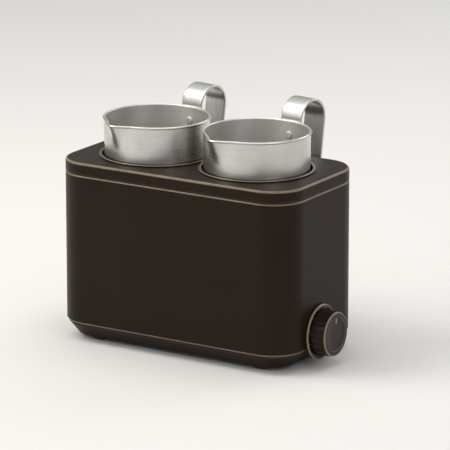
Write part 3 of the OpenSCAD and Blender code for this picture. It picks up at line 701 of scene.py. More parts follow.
@dataclass(frozen=True)
class BrushedAnodised(Finish):
    """Aluminium strip brushed along its length, then satin anodised."""

    # Brushed strip: fine straight lines that run with the strap round its bends, with a
    # few longer darker strokes.
    line_mm: float = 0.35
    line_depth_mm: float = 0.008
    line_stretch: float = 0.02
    line_gloss: float = 0.05
    line_haze: float = 0.07
    shade: str = "#ABAAA6"

    def detail(self, tree: bpy.types.NodeTree) -> Inputs:
        """Adds brush lines that follow the strap.

        Args:
            tree: Node tree of the material.

        Returns:
            The shader's inputs.
        """
        place = add_node(
            tree, "ShaderNodeAttribute", {"attribute_name": RUN_ATTRIBUTE}
        ).outputs["Vector"]
        # Real brush lines are 0.05 to 0.1 mm wide; they are drawn at 0.35 mm to show.
        stretched = add_node(
            tree,
            "ShaderNodeMapping",
            inputs={"Vector": place, "Scale": (1.0, self.line_stretch, 1.0)},
        ).outputs[0]
        lines = add_node(
            tree,
            "ShaderNodeTexNoise",
            inputs=sized(stretched, self.line_mm, Detail=5.0, Roughness=0.7),
        ).outputs[0]
        tone = add_node(
            tree,
            "ShaderNodeMapRange",
            inputs={"Value": lines, "From Min": 0.3, "From Max": 0.62},
        ).outputs[0]
        colour = add_node(
            tree,
            "ShaderNodeMix",
            {"data_type": "RGBA"},
            {0: tone, MIX_A: linear(self.shade), MIX_B: linear(self.colour)},
        ).outputs[MIX_OUT]
        rough = add_node(
            tree,
            "ShaderNodeMapRange",
            inputs={
                "Value": lines,
                "From Min": 0.3,
                "From Max": 0.7,
                "To Min": self.roughness + self.line_haze,
                "To Max": self.roughness - self.line_gloss,
            },
        ).outputs[0]
        relief = add_node(
            tree,
            "ShaderNodeBump",
            inputs={"Strength": 0.5, "Distance": self.line_depth_mm * MM, "Height": lines},
        ).outputs[0]
        return {"Base Color": colour, "Roughness": rough, "Normal": relief}


@dataclass(frozen=True)
class DrawnStainless(Finish):
    """Stainless sheet, deep drawn and lightly brushed."""

    # Deep-drawn stainless steel: slightly warm grey, faint upright draw lines, and a dull
    # mineral bloom up to the level that the water reaches.
    line_mm: float = 0.9
    line_depth_mm: float = 0.01
    line_stretch: float = 0.04
    patch_mm: float = 14.0
    water_mm: float = 96.0
    tide_mm: float = 2.0
    waver_mm: float = 3.0
    bloom: str = "#B5B3AC"
    bloom_cover: float = 0.55
    bloom_haze: float = 0.35

    def detail(self, tree: bpy.types.NodeTree) -> Inputs:
        """Adds draw lines and the mineral bloom.

        Args:
            tree: Node tree of the material.

        Returns:
            The shader's inputs.
        """
        place = add_node(tree, "ShaderNodeTexCoord").outputs["Object"]
        drawn = add_node(
            tree,
            "ShaderNodeMapping",
            inputs={"Vector": place, "Scale": (1.0, 1.0, self.line_stretch)},
        ).outputs[0]
        lines = add_node(
            tree,
            "ShaderNodeTexNoise",
            inputs=sized(drawn, self.line_mm, Detail=4.0, Roughness=0.65),
        ).outputs[0]
        patch = add_node(
            tree,
            "ShaderNodeTexNoise",
            inputs=sized(place, self.patch_mm, Detail=5.0, Roughness=0.6),
        ).outputs[0]
        height = add_node(tree, "ShaderNodeSeparateXYZ", inputs={0: place}).outputs["Z"]
        level = add_node(
            tree,
            "ShaderNodeMath",
            {"operation": "MULTIPLY_ADD"},
            {0: patch, 1: self.waver_mm * MM, 2: height},
        ).outputs[0]
        under = add_node(
            tree,
            "ShaderNodeMapRange",
            inputs={
                "Value": level,
                "From Min": (self.water_mm + self.tide_mm) * MM,
                "From Max": self.water_mm * MM,
                "To Max": self.bloom_cover,
            },
        ).outputs[0]
        deposit = add_node(
            tree, "ShaderNodeMath", {"operation": "MULTIPLY"}, {0: under, 1: patch}
        ).outputs[0]
        colour = add_node(
            tree,
            "ShaderNodeMix",
            {"data_type": "RGBA"},
            {0: deposit, MIX_A: linear(self.colour), MIX_B: linear(self.bloom)},
        ).outputs[MIX_OUT]
        rough = add_node(
            tree,
            "ShaderNodeMath",
            {"operation": "MULTIPLY_ADD"},
            {0: deposit, 1: self.bloom_haze, 2: self.roughness},
        ).outputs[0]
        relief = add_node(
            tree,
            "ShaderNodeBump",
            inputs={
                "Strength": 0.5,
                "Distance": self.line_depth_mm * MM,
                "Height": lines,
                "Normal": self.softened(tree),
            },
        ).outputs[0]
        return {"Base Color": colour, "Roughness": rough, "Normal": relief}


@dataclass(frozen=True)
class ZincPlated(Finish):
    """Pressed or turned steel, bright zinc plated and passivated."""

    # Passivated zinc: cool grey with blue and straw tints that drift over a few millimetres,
    # fine crystals in the plating, and soft rounded edges.
    drift_mm: float = 6.0
    crystal_mm: float = 0.6
    crystal_haze: float = 0.12
    blue: str = "#A9B4BE"
    straw: str = "#BDB7A6"

    def detail(self, tree: bpy.types.NodeTree) -> Inputs:
        """Adds passivation tints and crystals.

        Args:
            tree: Node tree of the material.

        Returns:
            The shader's inputs.
        """
        place = add_node(tree, "ShaderNodeTexCoord").outputs["Object"]
        drift = add_node(
            tree,
            "ShaderNodeTexNoise",
            inputs=sized(place, self.drift_mm, Detail=3.0, Roughness=0.5),
        ).outputs[0]
        tint = add_node(
            tree,
            "ShaderNodeValToRGB",
            inputs={"Fac": drift},
            stops=((0.32, self.blue), (0.5, self.colour), (0.7, self.straw)),
        ).outputs[0]
        crystals = add_node(
            tree, "ShaderNodeTexVoronoi", inputs=sized(place, self.crystal_mm, Randomness=1.0)
        ).outputs["Color"]
        sparkle = add_node(tree, "ShaderNodeSeparateColor", inputs={0: crystals}).outputs[0]
        rough = add_node(
            tree,
            "ShaderNodeMath",
            {"operation": "MULTIPLY_ADD"},
            {0: sparkle, 1: self.crystal_haze, 2: self.roughness - self.crystal_haze / 2},
        ).outputs[0]
        return {"Base Color": tint, "Roughness": rough, "Normal": self.softened(tree)}


@dataclass(frozen=True)
class CastAluminium(Finish):
    """Aluminium plate, die cast and left as cast."""

    # As-cast aluminium: pale matt grey with a pebbly skin and slightly darker flow streaks.
    pebble_mm: float = 0.7
    pebble_depth_mm: float = 0.04
    flow_mm: float = 12.0
    streak: str = "#8C8C8A"

    def detail(self, tree: bpy.types.NodeTree) -> Inputs:
        """Adds the pebbly skin and flow streaks.

        Args:
            tree: Node tree of the material.

        Returns:
            The shader's inputs.
        """
        place = add_node(tree, "ShaderNodeTexCoord").outputs["Object"]
        pebble = add_node(
            tree,
            "ShaderNodeTexNoise",
            inputs=sized(place, self.pebble_mm, Detail=3.0, Roughness=0.6),
        ).outputs[0]
        flow = add_node(
            tree,
            "ShaderNodeTexNoise",
            inputs=sized(place, self.flow_mm, Detail=5.0, Distortion=1.2),
        ).outputs[0]
        colour = add_node(
            tree,
            "ShaderNodeMix",
            {"data_type": "RGBA"},
            {0: flow, MIX_A: linear(self.streak), MIX_B: linear(self.colour)},
        ).outputs[MIX_OUT]
        relief = add_node(
            tree,
            "ShaderNodeBump",
            inputs={
                "Strength": 0.8,
                "Distance": self.pebble_depth_mm * MM,
                "Height": pebble,
                "Normal": self.softened(tree),
            },
        ).outputs[0]
        return {"Base Color": colour, "Normal": relief}


@dataclass(frozen=True)
class HeatTonedTube(Finish):
    """Stainless sheath of a heating element, annealed and toned by use."""

    # Annealed sheath: dull olive grey that heat has toned straw and blue in slow bands.
    drift_mm: float = 25.0
    scale_mm: float = 0.6
    scale_depth_mm: float = 0.02
    straw: str = "#6E5F45"
    blue: str = "#4A4F5A"

    def detail(self, tree: bpy.types.NodeTree) -> Inputs:
        """Adds the bands of heat tone and the scale.

        Args:
            tree: Node tree of the material.

        Returns:
            The shader's inputs.
        """
        place = add_node(tree, "ShaderNodeTexCoord").outputs["Object"]
        drift = add_node(
            tree,
            "ShaderNodeTexNoise",
            inputs=sized(place, self.drift_mm, Detail=3.0, Distortion=0.6),
        ).outputs[0]
        tone = add_node(
            tree,
            "ShaderNodeValToRGB",
            inputs={"Fac": drift},
            stops=((0.35, self.blue), (0.5, self.colour), (0.62, self.straw)),
        ).outputs[0]
        scale = add_node(
            tree,
            "ShaderNodeTexNoise",
            inputs=sized(place, self.scale_mm, Detail=4.0, Roughness=0.7),
        ).outputs[0]
        relief = add_node(
            tree,
            "ShaderNodeBump",
            inputs={"Strength": 0.5, "Distance": self.scale_depth_mm * MM, "Height": scale},
        ).outputs[0]
        return {"Base Color": tone, "Normal": relief}


@dataclass(frozen=True)
class PressedCeramic(Finish):
    """Steatite, pressed and fired without a glaze."""

    # Unglazed steatite: cream white and chalky, with pin holes and faint grey specks.
    grain_mm: float = 0.5
    hole_depth_mm: float = 0.02
    speck: str = "#A79F8C"

    def detail(self, tree: bpy.types.NodeTree) -> Inputs:
        """Adds specks and pin holes.

        Args:
            tree: Node tree of the material.

        Returns:
            The shader's inputs.
        """
        place = add_node(tree, "ShaderNodeTexCoord").outputs["Object"]
        grains = add_node(
            tree,
            "ShaderNodeTexNoise",
            inputs=sized(place, self.grain_mm, Detail=3.0, Roughness=0.6),
        ).outputs[0]
        dots = add_node(
            tree,
            "ShaderNodeMapRange",
            inputs={"Value": grains, "From Min": 0.62, "From Max": 0.7, "To Max": 0.7},
        ).outputs[0]
        colour = add_node(
            tree,
            "ShaderNodeMix",
            {"data_type": "RGBA"},
            {0: dots, MIX_A: linear(self.colour), MIX_B: linear(self.speck)},
        ).outputs[MIX_OUT]
        relief = add_node(
            tree,
            "ShaderNodeBump",
            inputs={
                "Strength": 0.7,
                "Distance": self.hole_depth_mm * MM,
                "Height": grains,
                "Normal": self.softened(tree),
            },
        ).outputs[0]
        return {"Base Color": colour, "Normal": relief}


@dataclass(frozen=True)
class ExtrudedInsulation(Finish):
    """Soft insulation extruded over a copper core."""

    # Extruded silicone insulation: an even soft colour with a waxy sheen and slow ripples.
    ripple_mm: float = 2.5
    ripple_depth_mm: float = 0.05
    ripple_haze: float = 0.2

    def detail(self, tree: bpy.types.NodeTree) -> Inputs:
        """Adds ripples and a waxy sheen.

        Args:
            tree: Node tree of the material.

        Returns:
            The shader's inputs.
        """
        place = add_node(tree, "ShaderNodeTexCoord").outputs["Object"]
        ripple = add_node(
            tree, "ShaderNodeTexNoise", inputs=sized(place, self.ripple_mm, Detail=2.0)
        ).outputs[0]
        rough = add_node(
            tree,
            "ShaderNodeMath",
            {"operation": "MULTIPLY_ADD"},
            {0: ripple, 1: self.ripple_haze, 2: self.roughness - self.ripple_haze / 2},
        ).outputs[0]
        relief = add_node(
            tree,
            "ShaderNodeBump",
            inputs={"Strength": 0.4, "Distance": self.ripple_depth_mm * MM, "Height": ripple},
        ).outputs[0]
        return {"Roughness": rough, "Normal": relief}


@dataclass(frozen=True)
class RolledPaper(Finish):
    """Matt paper sweep of the studio."""

    # Matt background paper: even and pale, with the faintest tooth.
    tooth_mm: float = 3.0
    tooth_depth_mm: float = 0.05

    def detail(self, tree: bpy.types.NodeTree) -> Inputs:
        """Adds the paper's tooth.

        Args:
            tree: Node tree of the material.

        Returns:
            The shader's inputs.
        """
        place = add_node(tree, "ShaderNodeTexCoord").outputs["Object"]
        tooth = add_node(
            tree, "ShaderNodeTexNoise", inputs=sized(place, self.tooth_mm, Detail=2.0)
        ).outputs[0]
        relief = add_node(
            tree,
            "ShaderNodeBump",
            inputs={"Strength": 0.1, "Distance": self.tooth_depth_mm * MM, "Height": tooth},
        ).outputs[0]
        return {"Normal": relief}


BODY_ABS = SparkErodedMoulding(
    "abs_spark_eroded", "#24180F", 0.42, ior=1.54, edge_mm=0.5, specular=0.12
)
KNOB_ABS = PolishedMoulding("abs_polished", "#231810", 0.3, ior=1.54, edge_mm=0.4, specular=0.2)
# The dial ring's painted highlight lies on the rounds that face along the shaft.
DIAL_RING_ABS = PolishedMoulding(
    "abs_polished_dial", "#231810", 0.3, ior=1.54, specular=0.2, highlight_axis=(1.0, 0.0, 0.0)
)
RING_ABS = PolishedMoulding("abs_polished_ring", "#2A1E16", 0.25, ior=1.54, edge_mm=0.5)
INDEX_INK = PadPrint("ink_pad_printed", "#B9AE9F", 0.55, ior=1.5)
FOOT_RUBBER = MouldedRubber("rubber_moulded", "#1C1B1A", 0.72, ior=1.52, edge_mm=0.3)
GASKET_SILICONE = MouldedRubber(
    "silicone_moulded", "#9C9B97", 0.6, ior=1.43, edge_mm=0.2, dust="#B4B2AD"
)
CUP_ALUMINIUM = TurnedAnodised("aluminium_turned_anodised", "#DEDDD9", 0.3, metallic=1.0)
STRAP_ALUMINIUM = BrushedAnodised("aluminium_brushed_anodised", "#D3D2CE", 0.3, metallic=1.0)
TANK_STEEL = DrawnStainless("stainless_deep_drawn", "#C3C1BC", 0.27, metallic=1.0)
FIXING_ZINC = ZincPlated("steel_zinc_plated", "#B4B6B8", 0.3, metallic=1.0, edge_mm=0.2)
PLATE_ALUMINIUM = CastAluminium("aluminium_as_cast", "#B2B1AE", 0.5, metallic=1.0)
ELEMENT_STEEL = HeatTonedTube("stainless_heat_toned", "#5C5A55", 0.45, metallic=1.0)
STEATITE = PressedCeramic("steatite_unglazed", "#DDD6C5", 0.8, ior=1.6, edge_mm=0.25)
LEAD_BROWN = ExtrudedInsulation("silicone_lead_brown", "#5A3320", 0.5, ior=1.43)
LEAD_RED = ExtrudedInsulation("silicone_lead_red", "#8E2018", 0.5, ior=1.43)
LEAD_BLUE = ExtrudedInsulation("silicone_lead_blue", "#25407F", 0.5, ior=1.43)
LEAD_GREEN = ExtrudedInsulation("silicone_lead_green", "#2F6B2A", 0.5, ior=1.43)
SWEEP_PAPER = RolledPaper("paper_sweep", "#E9E7E4", 0.9)


# ---- Sub-assemblies ----


@dataclass
class Assembly:
    """A group of pieces that are built and dressed together."""

    def build(self) -> list[bpy.types.Object]:
        """Builds and dresses the pieces, and gives them."""
        return []

    def dress(self, node: str, finish: Finish) -> bpy.types.Object:
        """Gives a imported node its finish.

        Args:
            node: Name of the node.
            finish: What its surface is.

        Returns:
            The node's object.
        """
        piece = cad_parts[node]
        material = finish.material()
        if not piece.material_slots:
            piece.data.materials.append(material)
        for place in piece.material_slots:
            place.material = material
        return piece

    def fit(
        self, piece: bpy.types.Object, finish: Finish, body: str, slot: str, node: str | None = None
    ) -> bpy.types.Object:
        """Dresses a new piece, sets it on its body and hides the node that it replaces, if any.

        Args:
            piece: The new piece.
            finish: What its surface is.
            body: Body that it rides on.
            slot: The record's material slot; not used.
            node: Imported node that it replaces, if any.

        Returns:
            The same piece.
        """
        piece.data.materials.append(finish.material())
        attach(piece, body)
        if node:
            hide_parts(node)
        return piece


@dataclass
class Body(Assembly):
    """Moulded housing, deck, base and feet."""

    shells: tuple[str, ...] = ("housing", "top_cover", "base_cover")
    feet: tuple[str, ...] = (
        "foot_front_left", "foot_front_right", "foot_rear_left", "foot_rear_right",
    )

    def build(self) -> list[bpy.types.Object]:
        """Dresses the shells, the rings and the feet.

        Returns:
            The pieces.
        """
        made = [self.dress(name, BODY_ABS) for name in self.shells]
        made += [self.dress(f"ring_{side.value}", RING_ABS) for side in Side]
        made += [self.dress(name, FOOT_RUBBER) for name in self.feet]
        made.append(self.dress("base_screws", FIXING_ZINC))
        return made


@dataclass
class WaterBath(Assembly):
    """Tank, gasket, screws and the cup stand."""

    def build(self) -> list[bpy.types.Object]:
        """Dresses the water bath.

        Returns:
            The pieces.
        """
        return [
            self.dress("tank", TANK_STEEL),
            self.dress("cup_stand", TANK_STEEL),
            self.dress("tank_gasket", GASKET_SILICONE),
            self.dress("tank_screws", FIXING_ZINC),
        ]


@dataclass
class Heater(Assembly):
    """Heater plate, element, clamps, shield and fuse."""

    pressed: tuple[str, ...] = (
        "clamp_straps", "clamp_nuts", "heat_shield", "shield_nuts", "fuse_clip", "fuse_screws",
    )

    def build(self) -> list[bpy.types.Object]:
        """Dresses the heater.

        Returns:
            The pieces.
        """
        made = [
            self.dress("heater_plate", PLATE_ALUMINIUM),
            self.dress("heater_element", ELEMENT_STEEL),
            self.dress("element_terminals", STEATITE),
            self.dress("thermal_fuse", STEATITE),
        ]
        return made + [self.dress(name, FIXING_ZINC) for name in self.pressed]


@dataclass
class Wiring(Assembly):
    """Terminal block, leads and the cord inlet."""

    leads: dict[str, Finish] = field(
        default_factory=lambda: {
            "lead_supply": LEAD_BROWN,
            "lead_heater": LEAD_RED,
            "lead_fuse_hot": LEAD_RED,
            "lead_fuse_cold": LEAD_BLUE,
            "lead_earth": LEAD_GREEN,
        }
    )

    def build(self) -> list[bpy.types.Object]:
        """Dresses the wiring.

        Returns:
            The pieces.
        """
        made = [self.dress(name, finish) for name, finish in self.leads.items()]
        made.append(self.dress("terminal_block", STEATITE))
        made.append(self.dress("terminal_screws", FIXING_ZINC))
        made.append(self.dress("cord_gland", FOOT_RUBBER))
        made.append(self.dress("gland_nut", FOOT_RUBBER))
        return made


@dataclass
class Dial(Assembly):
    """Thermostat, its ring and the fluted knob, in millimetres along the shaft."""

    radius: float = 16.2
    draft: float = 0.6
    edge: float = 1.6
    skin_t: float = 2.4
    chamfer: float = 0.3
    bore: float = 3.05
    boss: float = 6.2
    boss_back: float = 3.5
    foot: float = 0.8
    dish_radius: float = 12.2
    dish: float = 0.5
    # Distance out from the dish's radius and depth below the face, across the dish's edge
    dish_edge: tuple[tuple[float, float], ...] = (
        (0.25, 0.0), (0.05, 0.06), (-0.1, 0.4), (-0.4, 0.5),
    )
    dish_rings: tuple[float, ...] = (6.0, HUB_MM)
    heights: tuple[float, ...] = (0.3, 2.0, 4.0, 6.0, 7.5, 8.2, 8.55, 8.8, 8.95, 9.1)
    flutes: int = 20
    flute_depth: float = 0.55
    flute_steps: int = 14
    flute_high: float = 9.0
    flute_end: float = 0.9
    edge_steps: int = 9
    round_steps: int = 8
    # Inner end, outer end and width of the pointer line and of each mark
    index: tuple[float, float, float] = (7.6, 11.4, 1.1)
    mark: tuple[float, float, float] = (17.25, 18.4, 0.4)
    marks: int = 10
    mark_step_deg: float = 30.0
    index_sink: float = 0.1
    index_stand: float = 0.25
    mark_sink: float = 0.05
    mark_stand: float = 0.03
    ink_edge: float = 0.03

    def fluted(self, radius: float, z: float) -> np.ndarray:
        """Ring of the knob's outside, drawn in at each flute.

        Args:
            radius: Radius between the flutes.
            z: Distance from the knob's back.

        Returns:
            The points, three numbers each.
        """
        turns = np.linspace(0, 2 * math.pi, self.flutes * self.flute_steps, endpoint=False)
        fade = (self.flute_high - z) / self.flute_end
        depth = self.flute_depth * min(max(fade, 0.0), 1.0) ** 0.5
        radii = radius - depth * np.maximum(np.cos(turns * self.flutes), 0.0)
        level = np.full(len(turns), z)
        return np.column_stack([radii * np.cos(turns), radii * np.sin(turns), level])

    def knob_rings(self, depth: float) -> list[np.ndarray]:
        """Rings of the knob, from the end of its bore over the hollow back to the dished face.

        Args:
            depth: Length of the knob.

        Returns:
            The rings of points.
        """
        roof, top = depth - self.skin_t, depth - self.edge
        hollow = self.radius - self.skin_t - self.draft
        inside = [(HUB_MM, roof), (self.bore, roof), (self.bore, self.boss_back)]
        inside += [(self.boss, self.boss_back), (self.boss, roof), (hollow, roof)]
        inside += [(hollow, self.chamfer), (hollow + self.chamfer, 0.0)]
        inside.append((self.radius - self.foot, 0.0))
        wall = [(self.radius - self.draft * z / top, z) for z in (*self.heights, top)]
        face = arc((self.radius - self.draft - self.edge, top), self.edge, 10, 90, self.edge_steps)
        face += [(self.dish_radius + out, depth - drop) for out, drop in self.dish_edge]
        face += [(r, depth - self.dish) for r in self.dish_rings]
        steps = self.flutes * self.flute_steps
        outside = [self.fluted(r, z) for r, z in wall]
        return revolved(inside, steps) + outside + revolved(face, steps)

    def bar(self, size: tuple[float, float, float], low: float, high: float) -> list[np.ndarray]:
        """Rings of a small bar with round ends that points away from the shaft.

        Args:
            size: Distance of its inner and outer end from the shaft's axis, and its width.
            low: Height of its underside.
            high: Height of its top.

        Returns:
            The rings of points.
        """
        start, end, width = size
        half = width / 2
        plan = arc((end - half, 0.0), half, -90, 90, self.round_steps)
        plan += arc((start + half, 0.0), half, 90, 270, self.round_steps)
        middle = np.array([(start + end) / 2, 0.0])
        edge = self.ink_edge
        return [
            np.column_stack([middle + (np.array(plan) - middle) * share, np.full(len(plan), z)])
            for share, z in ((1.0, low), (1.0, high - edge), (1 - edge, high))
        ]

    def stand(self, piece: bpy.types.Object, x: float, turn_deg: float = 0.0) -> None:
        """Sets a piece on the shaft, its axis along +X and its start pointing up.

        Args:
            piece: The piece.
            x: Place of the piece's zero along the shaft, in metres.
            turn_deg: How far the piece is turned from pointing up.
        """
        low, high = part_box("knob")
        piece.location = (x, (low.y + high.y) / 2, (low.z + high.z) / 2)
        # The piece's own Z runs along the shaft to the right and its X points up.
        along = Matrix(((0, 0, 1), (0, -1, 0), (1, 0, 0)))
        turn = Matrix.Rotation(math.radians(turn_deg), 3, "Z")
        piece.rotation_euler = (along @ turn).to_euler()

    def build(self) -> list[bpy.types.Object]:
        """Builds the knob, its pointer line and the marks, and dresses the rest.

        Returns:
            The pieces.
        """
        low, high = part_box("knob")
        depth = (high.x - low.x) / MM
        knob = skin("dial_knob", self.knob_rings(depth))
        face = depth - self.dish
        index_bar = self.bar(self.index, face - self.index_sink, face + self.index_stand)
        index = skin("knob_index", index_bar)
        ring_face = (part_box("dial_ring")[1].x - low.x) / MM
        mark_bar = self.bar(self.mark, ring_face - self.mark_sink, ring_face + self.mark_stand)
        made = []
        for turned in range(self.marks):
            angle = (turned - (self.marks - 1) / 2) * self.mark_step_deg
            mark = skin(f"dial_mark_{turned + 1}", mark_bar)
            self.stand(mark, low.x, angle)
            made.append(self.fit(mark, INDEX_INK, "machine", "black_gloss"))
        for piece, finish in ((knob, KNOB_ABS), (index, INDEX_INK)):
            self.stand(piece, low.x)
            made.append(self.fit(piece, finish, "dial", "black_gloss"))
        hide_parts("knob")
        return made + [
            self.dress("dial_ring", DIAL_RING_ABS),
            self.dress("dial_shaft", FIXING_ZINC),
            self.dress("thermostat", STEATITE),
            self.dress("thermostat_nut", FIXING_ZINC),
        ]


@dataclass
class PourLip:
    """Sizes of a cup's pour lip, in millimetres and degrees."""

    width: float = 28.0
    reach: float = 6.0
    tip_radius: float = 7.5
    drop: float = 18.0
    turn: float = 9.0
    blend: float = 0.8
    narrow: float = 0.4
    fade: float = 1.6

    def outline(self, angles: np.ndarray, rim: float) -> np.ndarray:
        """Distance of the lip's outside from the cup's axis, at the rim.

        Args:
            angles: Angles from the lip's middle, in radians.
            rim: Radius of the cup's rim.

        Returns:
            The distance for each angle, along two straight flanks and a round tip.
        """
        half = self.width / 2
        start = np.array([half, math.sqrt(rim * rim - half * half)])
        tip_y = rim + self.reach - self.tip_radius
        rise = tip_y - start[1]
        swing = math.atan2(rise, half) + math.asin(self.tip_radius / math.hypot(half, rise))
        normal = np.array([math.sin(swing), math.cos(swing)])
        touch = np.array([0.0, tip_y]) + self.tip_radius * normal
        turned = np.abs(angles)
        line = float(start @ normal) / np.cos(np.minimum(turned, swing) - swing)
        inside = np.maximum(self.tip_radius**2 - (np.sin(turned) * tip_y) ** 2, 0.0)
        nose = np.cos(turned) * tip_y + np.sqrt(inside)
        return np.where(turned < math.atan2(touch[0], touch[1]), nose, line)

    def bulge(self, angles: np.ndarray, share: float, rim: float) -> np.ndarray:
        """How far the lip stands out from the wall at a height.

        Args:
            angles: Angles from the lip's middle, in radians.
            share: Height up the lip, from 0 where it starts to 1 at the rim.
            rim: Radius of the cup's rim.

        Returns:
            The distance out from the wall for each angle.
        """
        # Pressed metal runs out softly: the lip gets narrower and, faster, flatter.
        spread = self.narrow + (1 - self.narrow) * share
        lip = self.outline(np.clip(angles / spread, -math.pi / 2, math.pi / 2), rim)
        near = np.maximum(self.blend - np.abs(lip - rim), 0.0) / self.blend
        out = np.maximum(lip - rim, 0.0) + near * near * self.blend / 4
        return out * share**self.fade


@dataclass
class WarmingCup(Assembly):
    """A metal cup with a rolled rim and a pour lip, in millimetres and degrees."""

    side: Side
    height: float = 112.0
    rim_radius: float = 37.2
    taper: float = 1.4
    wall: float = 1.2
    floor: float = 1.6
    foot_round: float = 7.0
    bead: float = 1.8
    bead_sink: float = 0.1
    bead_start_deg: float = -72.0
    inner_lap: float = 0.4
    turn: float = 6.5
    underside: float = 0.7
    # Distance in from the foot's round and height, where the foot steps up to the underside
    foot_step: tuple[tuple[float, float], ...] = ((5.5, 0.7), (4.6, 0.55), (3.6, 0.12), (2.8, 0.0))
    floor_rings: tuple[float, ...] = (2.0, 12.0)
    floor_margin: float = 6.0
    lip_span_deg: float = 42.0
    fine_deg: float = 1.0
    coarse_deg: float = 3.0
    wall_steps: int = 8
    lip_steps: int = 26
    foot_steps: int = 12
    bead_steps: int = 17
    inner_steps: int = 10
    lip_lead: float = 1.0
    wall_lead: float = 1.0
    lip: PourLip = field(default_factory=PourLip)

    def axis(self) -> Vector:
        """Middle of the cup's foot in the frame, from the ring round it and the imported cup.

        Returns:
            The point, in metres.
        """
        low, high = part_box(f"ring_{self.side.value}")
        foot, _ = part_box(f"cup_{self.side.value}")
        return Vector(((low.x + high.x) / 2, (low.y + high.y) / 2, foot.z))

    def wall_radius(self, z: float) -> float:
        """Outer radius of the plain wall at a height above the foot."""
        return self.rim_radius - self.taper * (self.height - z) / (self.height - self.foot_round)

    def lip_turn(self) -> float:
        """How far the lip's middle is turned from +Y, in radians."""
        return math.radians(180 - self.lip.turn - self.turn)

    def angles(self) -> np.ndarray:
        """Angles of the points of a ring from the lip's middle, closer together at the lip.

        Returns:
            The angles, in radians.
        """
        span = self.lip_span_deg
        lip = np.arange(-span, span, self.fine_deg)
        rest = np.arange(span, 360 - span, self.coarse_deg)
        return np.radians(np.concatenate([lip, rest]))

    def ring(self, z: float, inset: float) -> np.ndarray:
        """Points of the outline at a height, moved in square to it.

        Args:
            z: Height above the foot.
            inset: How far the points lie inside the outer face; less than nothing is outside.

        Returns:
            The points, three numbers each.
        """
        turns = self.angles()
        wrapped = (turns + math.pi) % (2 * math.pi) - math.pi
        level = min(z, self.height)
        radii = np.full(len(turns), self.wall_radius(level))
        share = (level - self.height + self.lip.drop) / self.lip.drop
        if share > 0:
            radii += self.lip.bulge(wrapped, share, self.rim_radius)
        # The lip's middle points along +Y before the cup is turned.
        plan = np.stack([radii * np.sin(turns), radii * np.cos(turns)], axis=1)
        along = np.roll(plan, -1, axis=0) - np.roll(plan, 1, axis=0)
        out = np.stack([-along[:, 1], along[:, 0]], axis=1)
        out /= np.linalg.norm(out, axis=1)[:, None]
        out *= np.sign(np.sum(out * plan, axis=1))[:, None]
        cos, sin = math.cos(self.lip_turn()), math.sin(self.lip_turn())
        swung = (plan - inset * out) @ np.array([[cos, sin], [-sin, cos]])
        return np.column_stack([swung, np.full(len(turns), z)])

    def circle(self, radius: float, z: float) -> np.ndarray:
        """Points of a plain circle, at the same angles as the outline's.

        Args:
            radius: Radius of the circle.
            z: Height above the foot.

        Returns:
            The points, three numbers each.
        """
        turns = self.angles() - self.lip_turn()
        level = np.full(len(turns), z)
        return np.column_stack([radius * np.sin(turns), radius * np.cos(turns), level])

    def levels(self, low: float, high: float) -> list[float]:
        """Heights up the wall, close together along the pour lip.

        Args:
            low: Lowest height.
            high: Highest height.

        Returns:
            The heights, upwards.
        """
        start = self.height - self.lip.drop
        plain = np.linspace(low, start - self.lip_lead, self.wall_steps)
        return [*plain, *np.linspace(start, high, self.lip_steps)]

    def shell(self) -> list[np.ndarray]:
        """Rings of the whole cup, from under the foot over the rim to the inner floor.

        Returns:
            The rings of points.
        """
        foot_r = self.rim_radius - self.taper
        corner = foot_r - self.foot_round
        under = [(r, self.underside) for r in self.floor_rings]
        under += [(corner - inward, z) for inward, z in self.foot_step]
        under += arc((corner, self.foot_round), self.foot_round, -90, 0, self.foot_steps)
        rings = [self.circle(r, z) for r, z in under]
        bead_r = self.bead / 2
        up = self.levels(self.foot_round + self.wall_lead, self.height - bead_r)
        rings += [self.ring(z, 0.0) for z in up]
        for turned in np.radians(np.linspace(self.bead_start_deg, 180, self.bead_steps)):
            outside = math.cos(turned) > 0
            reach = bead_r if outside else self.wall - self.bead_sink
            inset = self.bead_sink - reach * math.cos(turned)
            rings.append(self.ring(self.height + bead_r * math.sin(turned), inset))
        down = self.levels(self.floor + self.foot_round, self.height - self.inner_lap)[::-1]
        rings += [self.ring(z, self.wall) for z in down]
        inner_round = self.foot_round - self.wall
        inner = foot_r - self.wall - inner_round
        centre = (inner, self.floor + inner_round)
        floor = arc(centre, inner_round, 0, -90, self.inner_steps)
        floor += [(r, self.floor) for r in (inner - self.floor_margin, *self.floor_rings[::-1])]
        return rings + [self.circle(r, z) for r, z in floor]

    def build(self) -> list[bpy.types.Object]:
        """Builds the cup on its axis and dresses it.

        Returns:
            The cup.
        """
        side = self.side.value
        cup = skin(f"warming_cup_{side}", self.shell())
        cup.location = self.axis()
        return [self.fit(cup, CUP_ALUMINIUM, f"{side}_cup", "cup_aluminium", f"cup_{side}")]


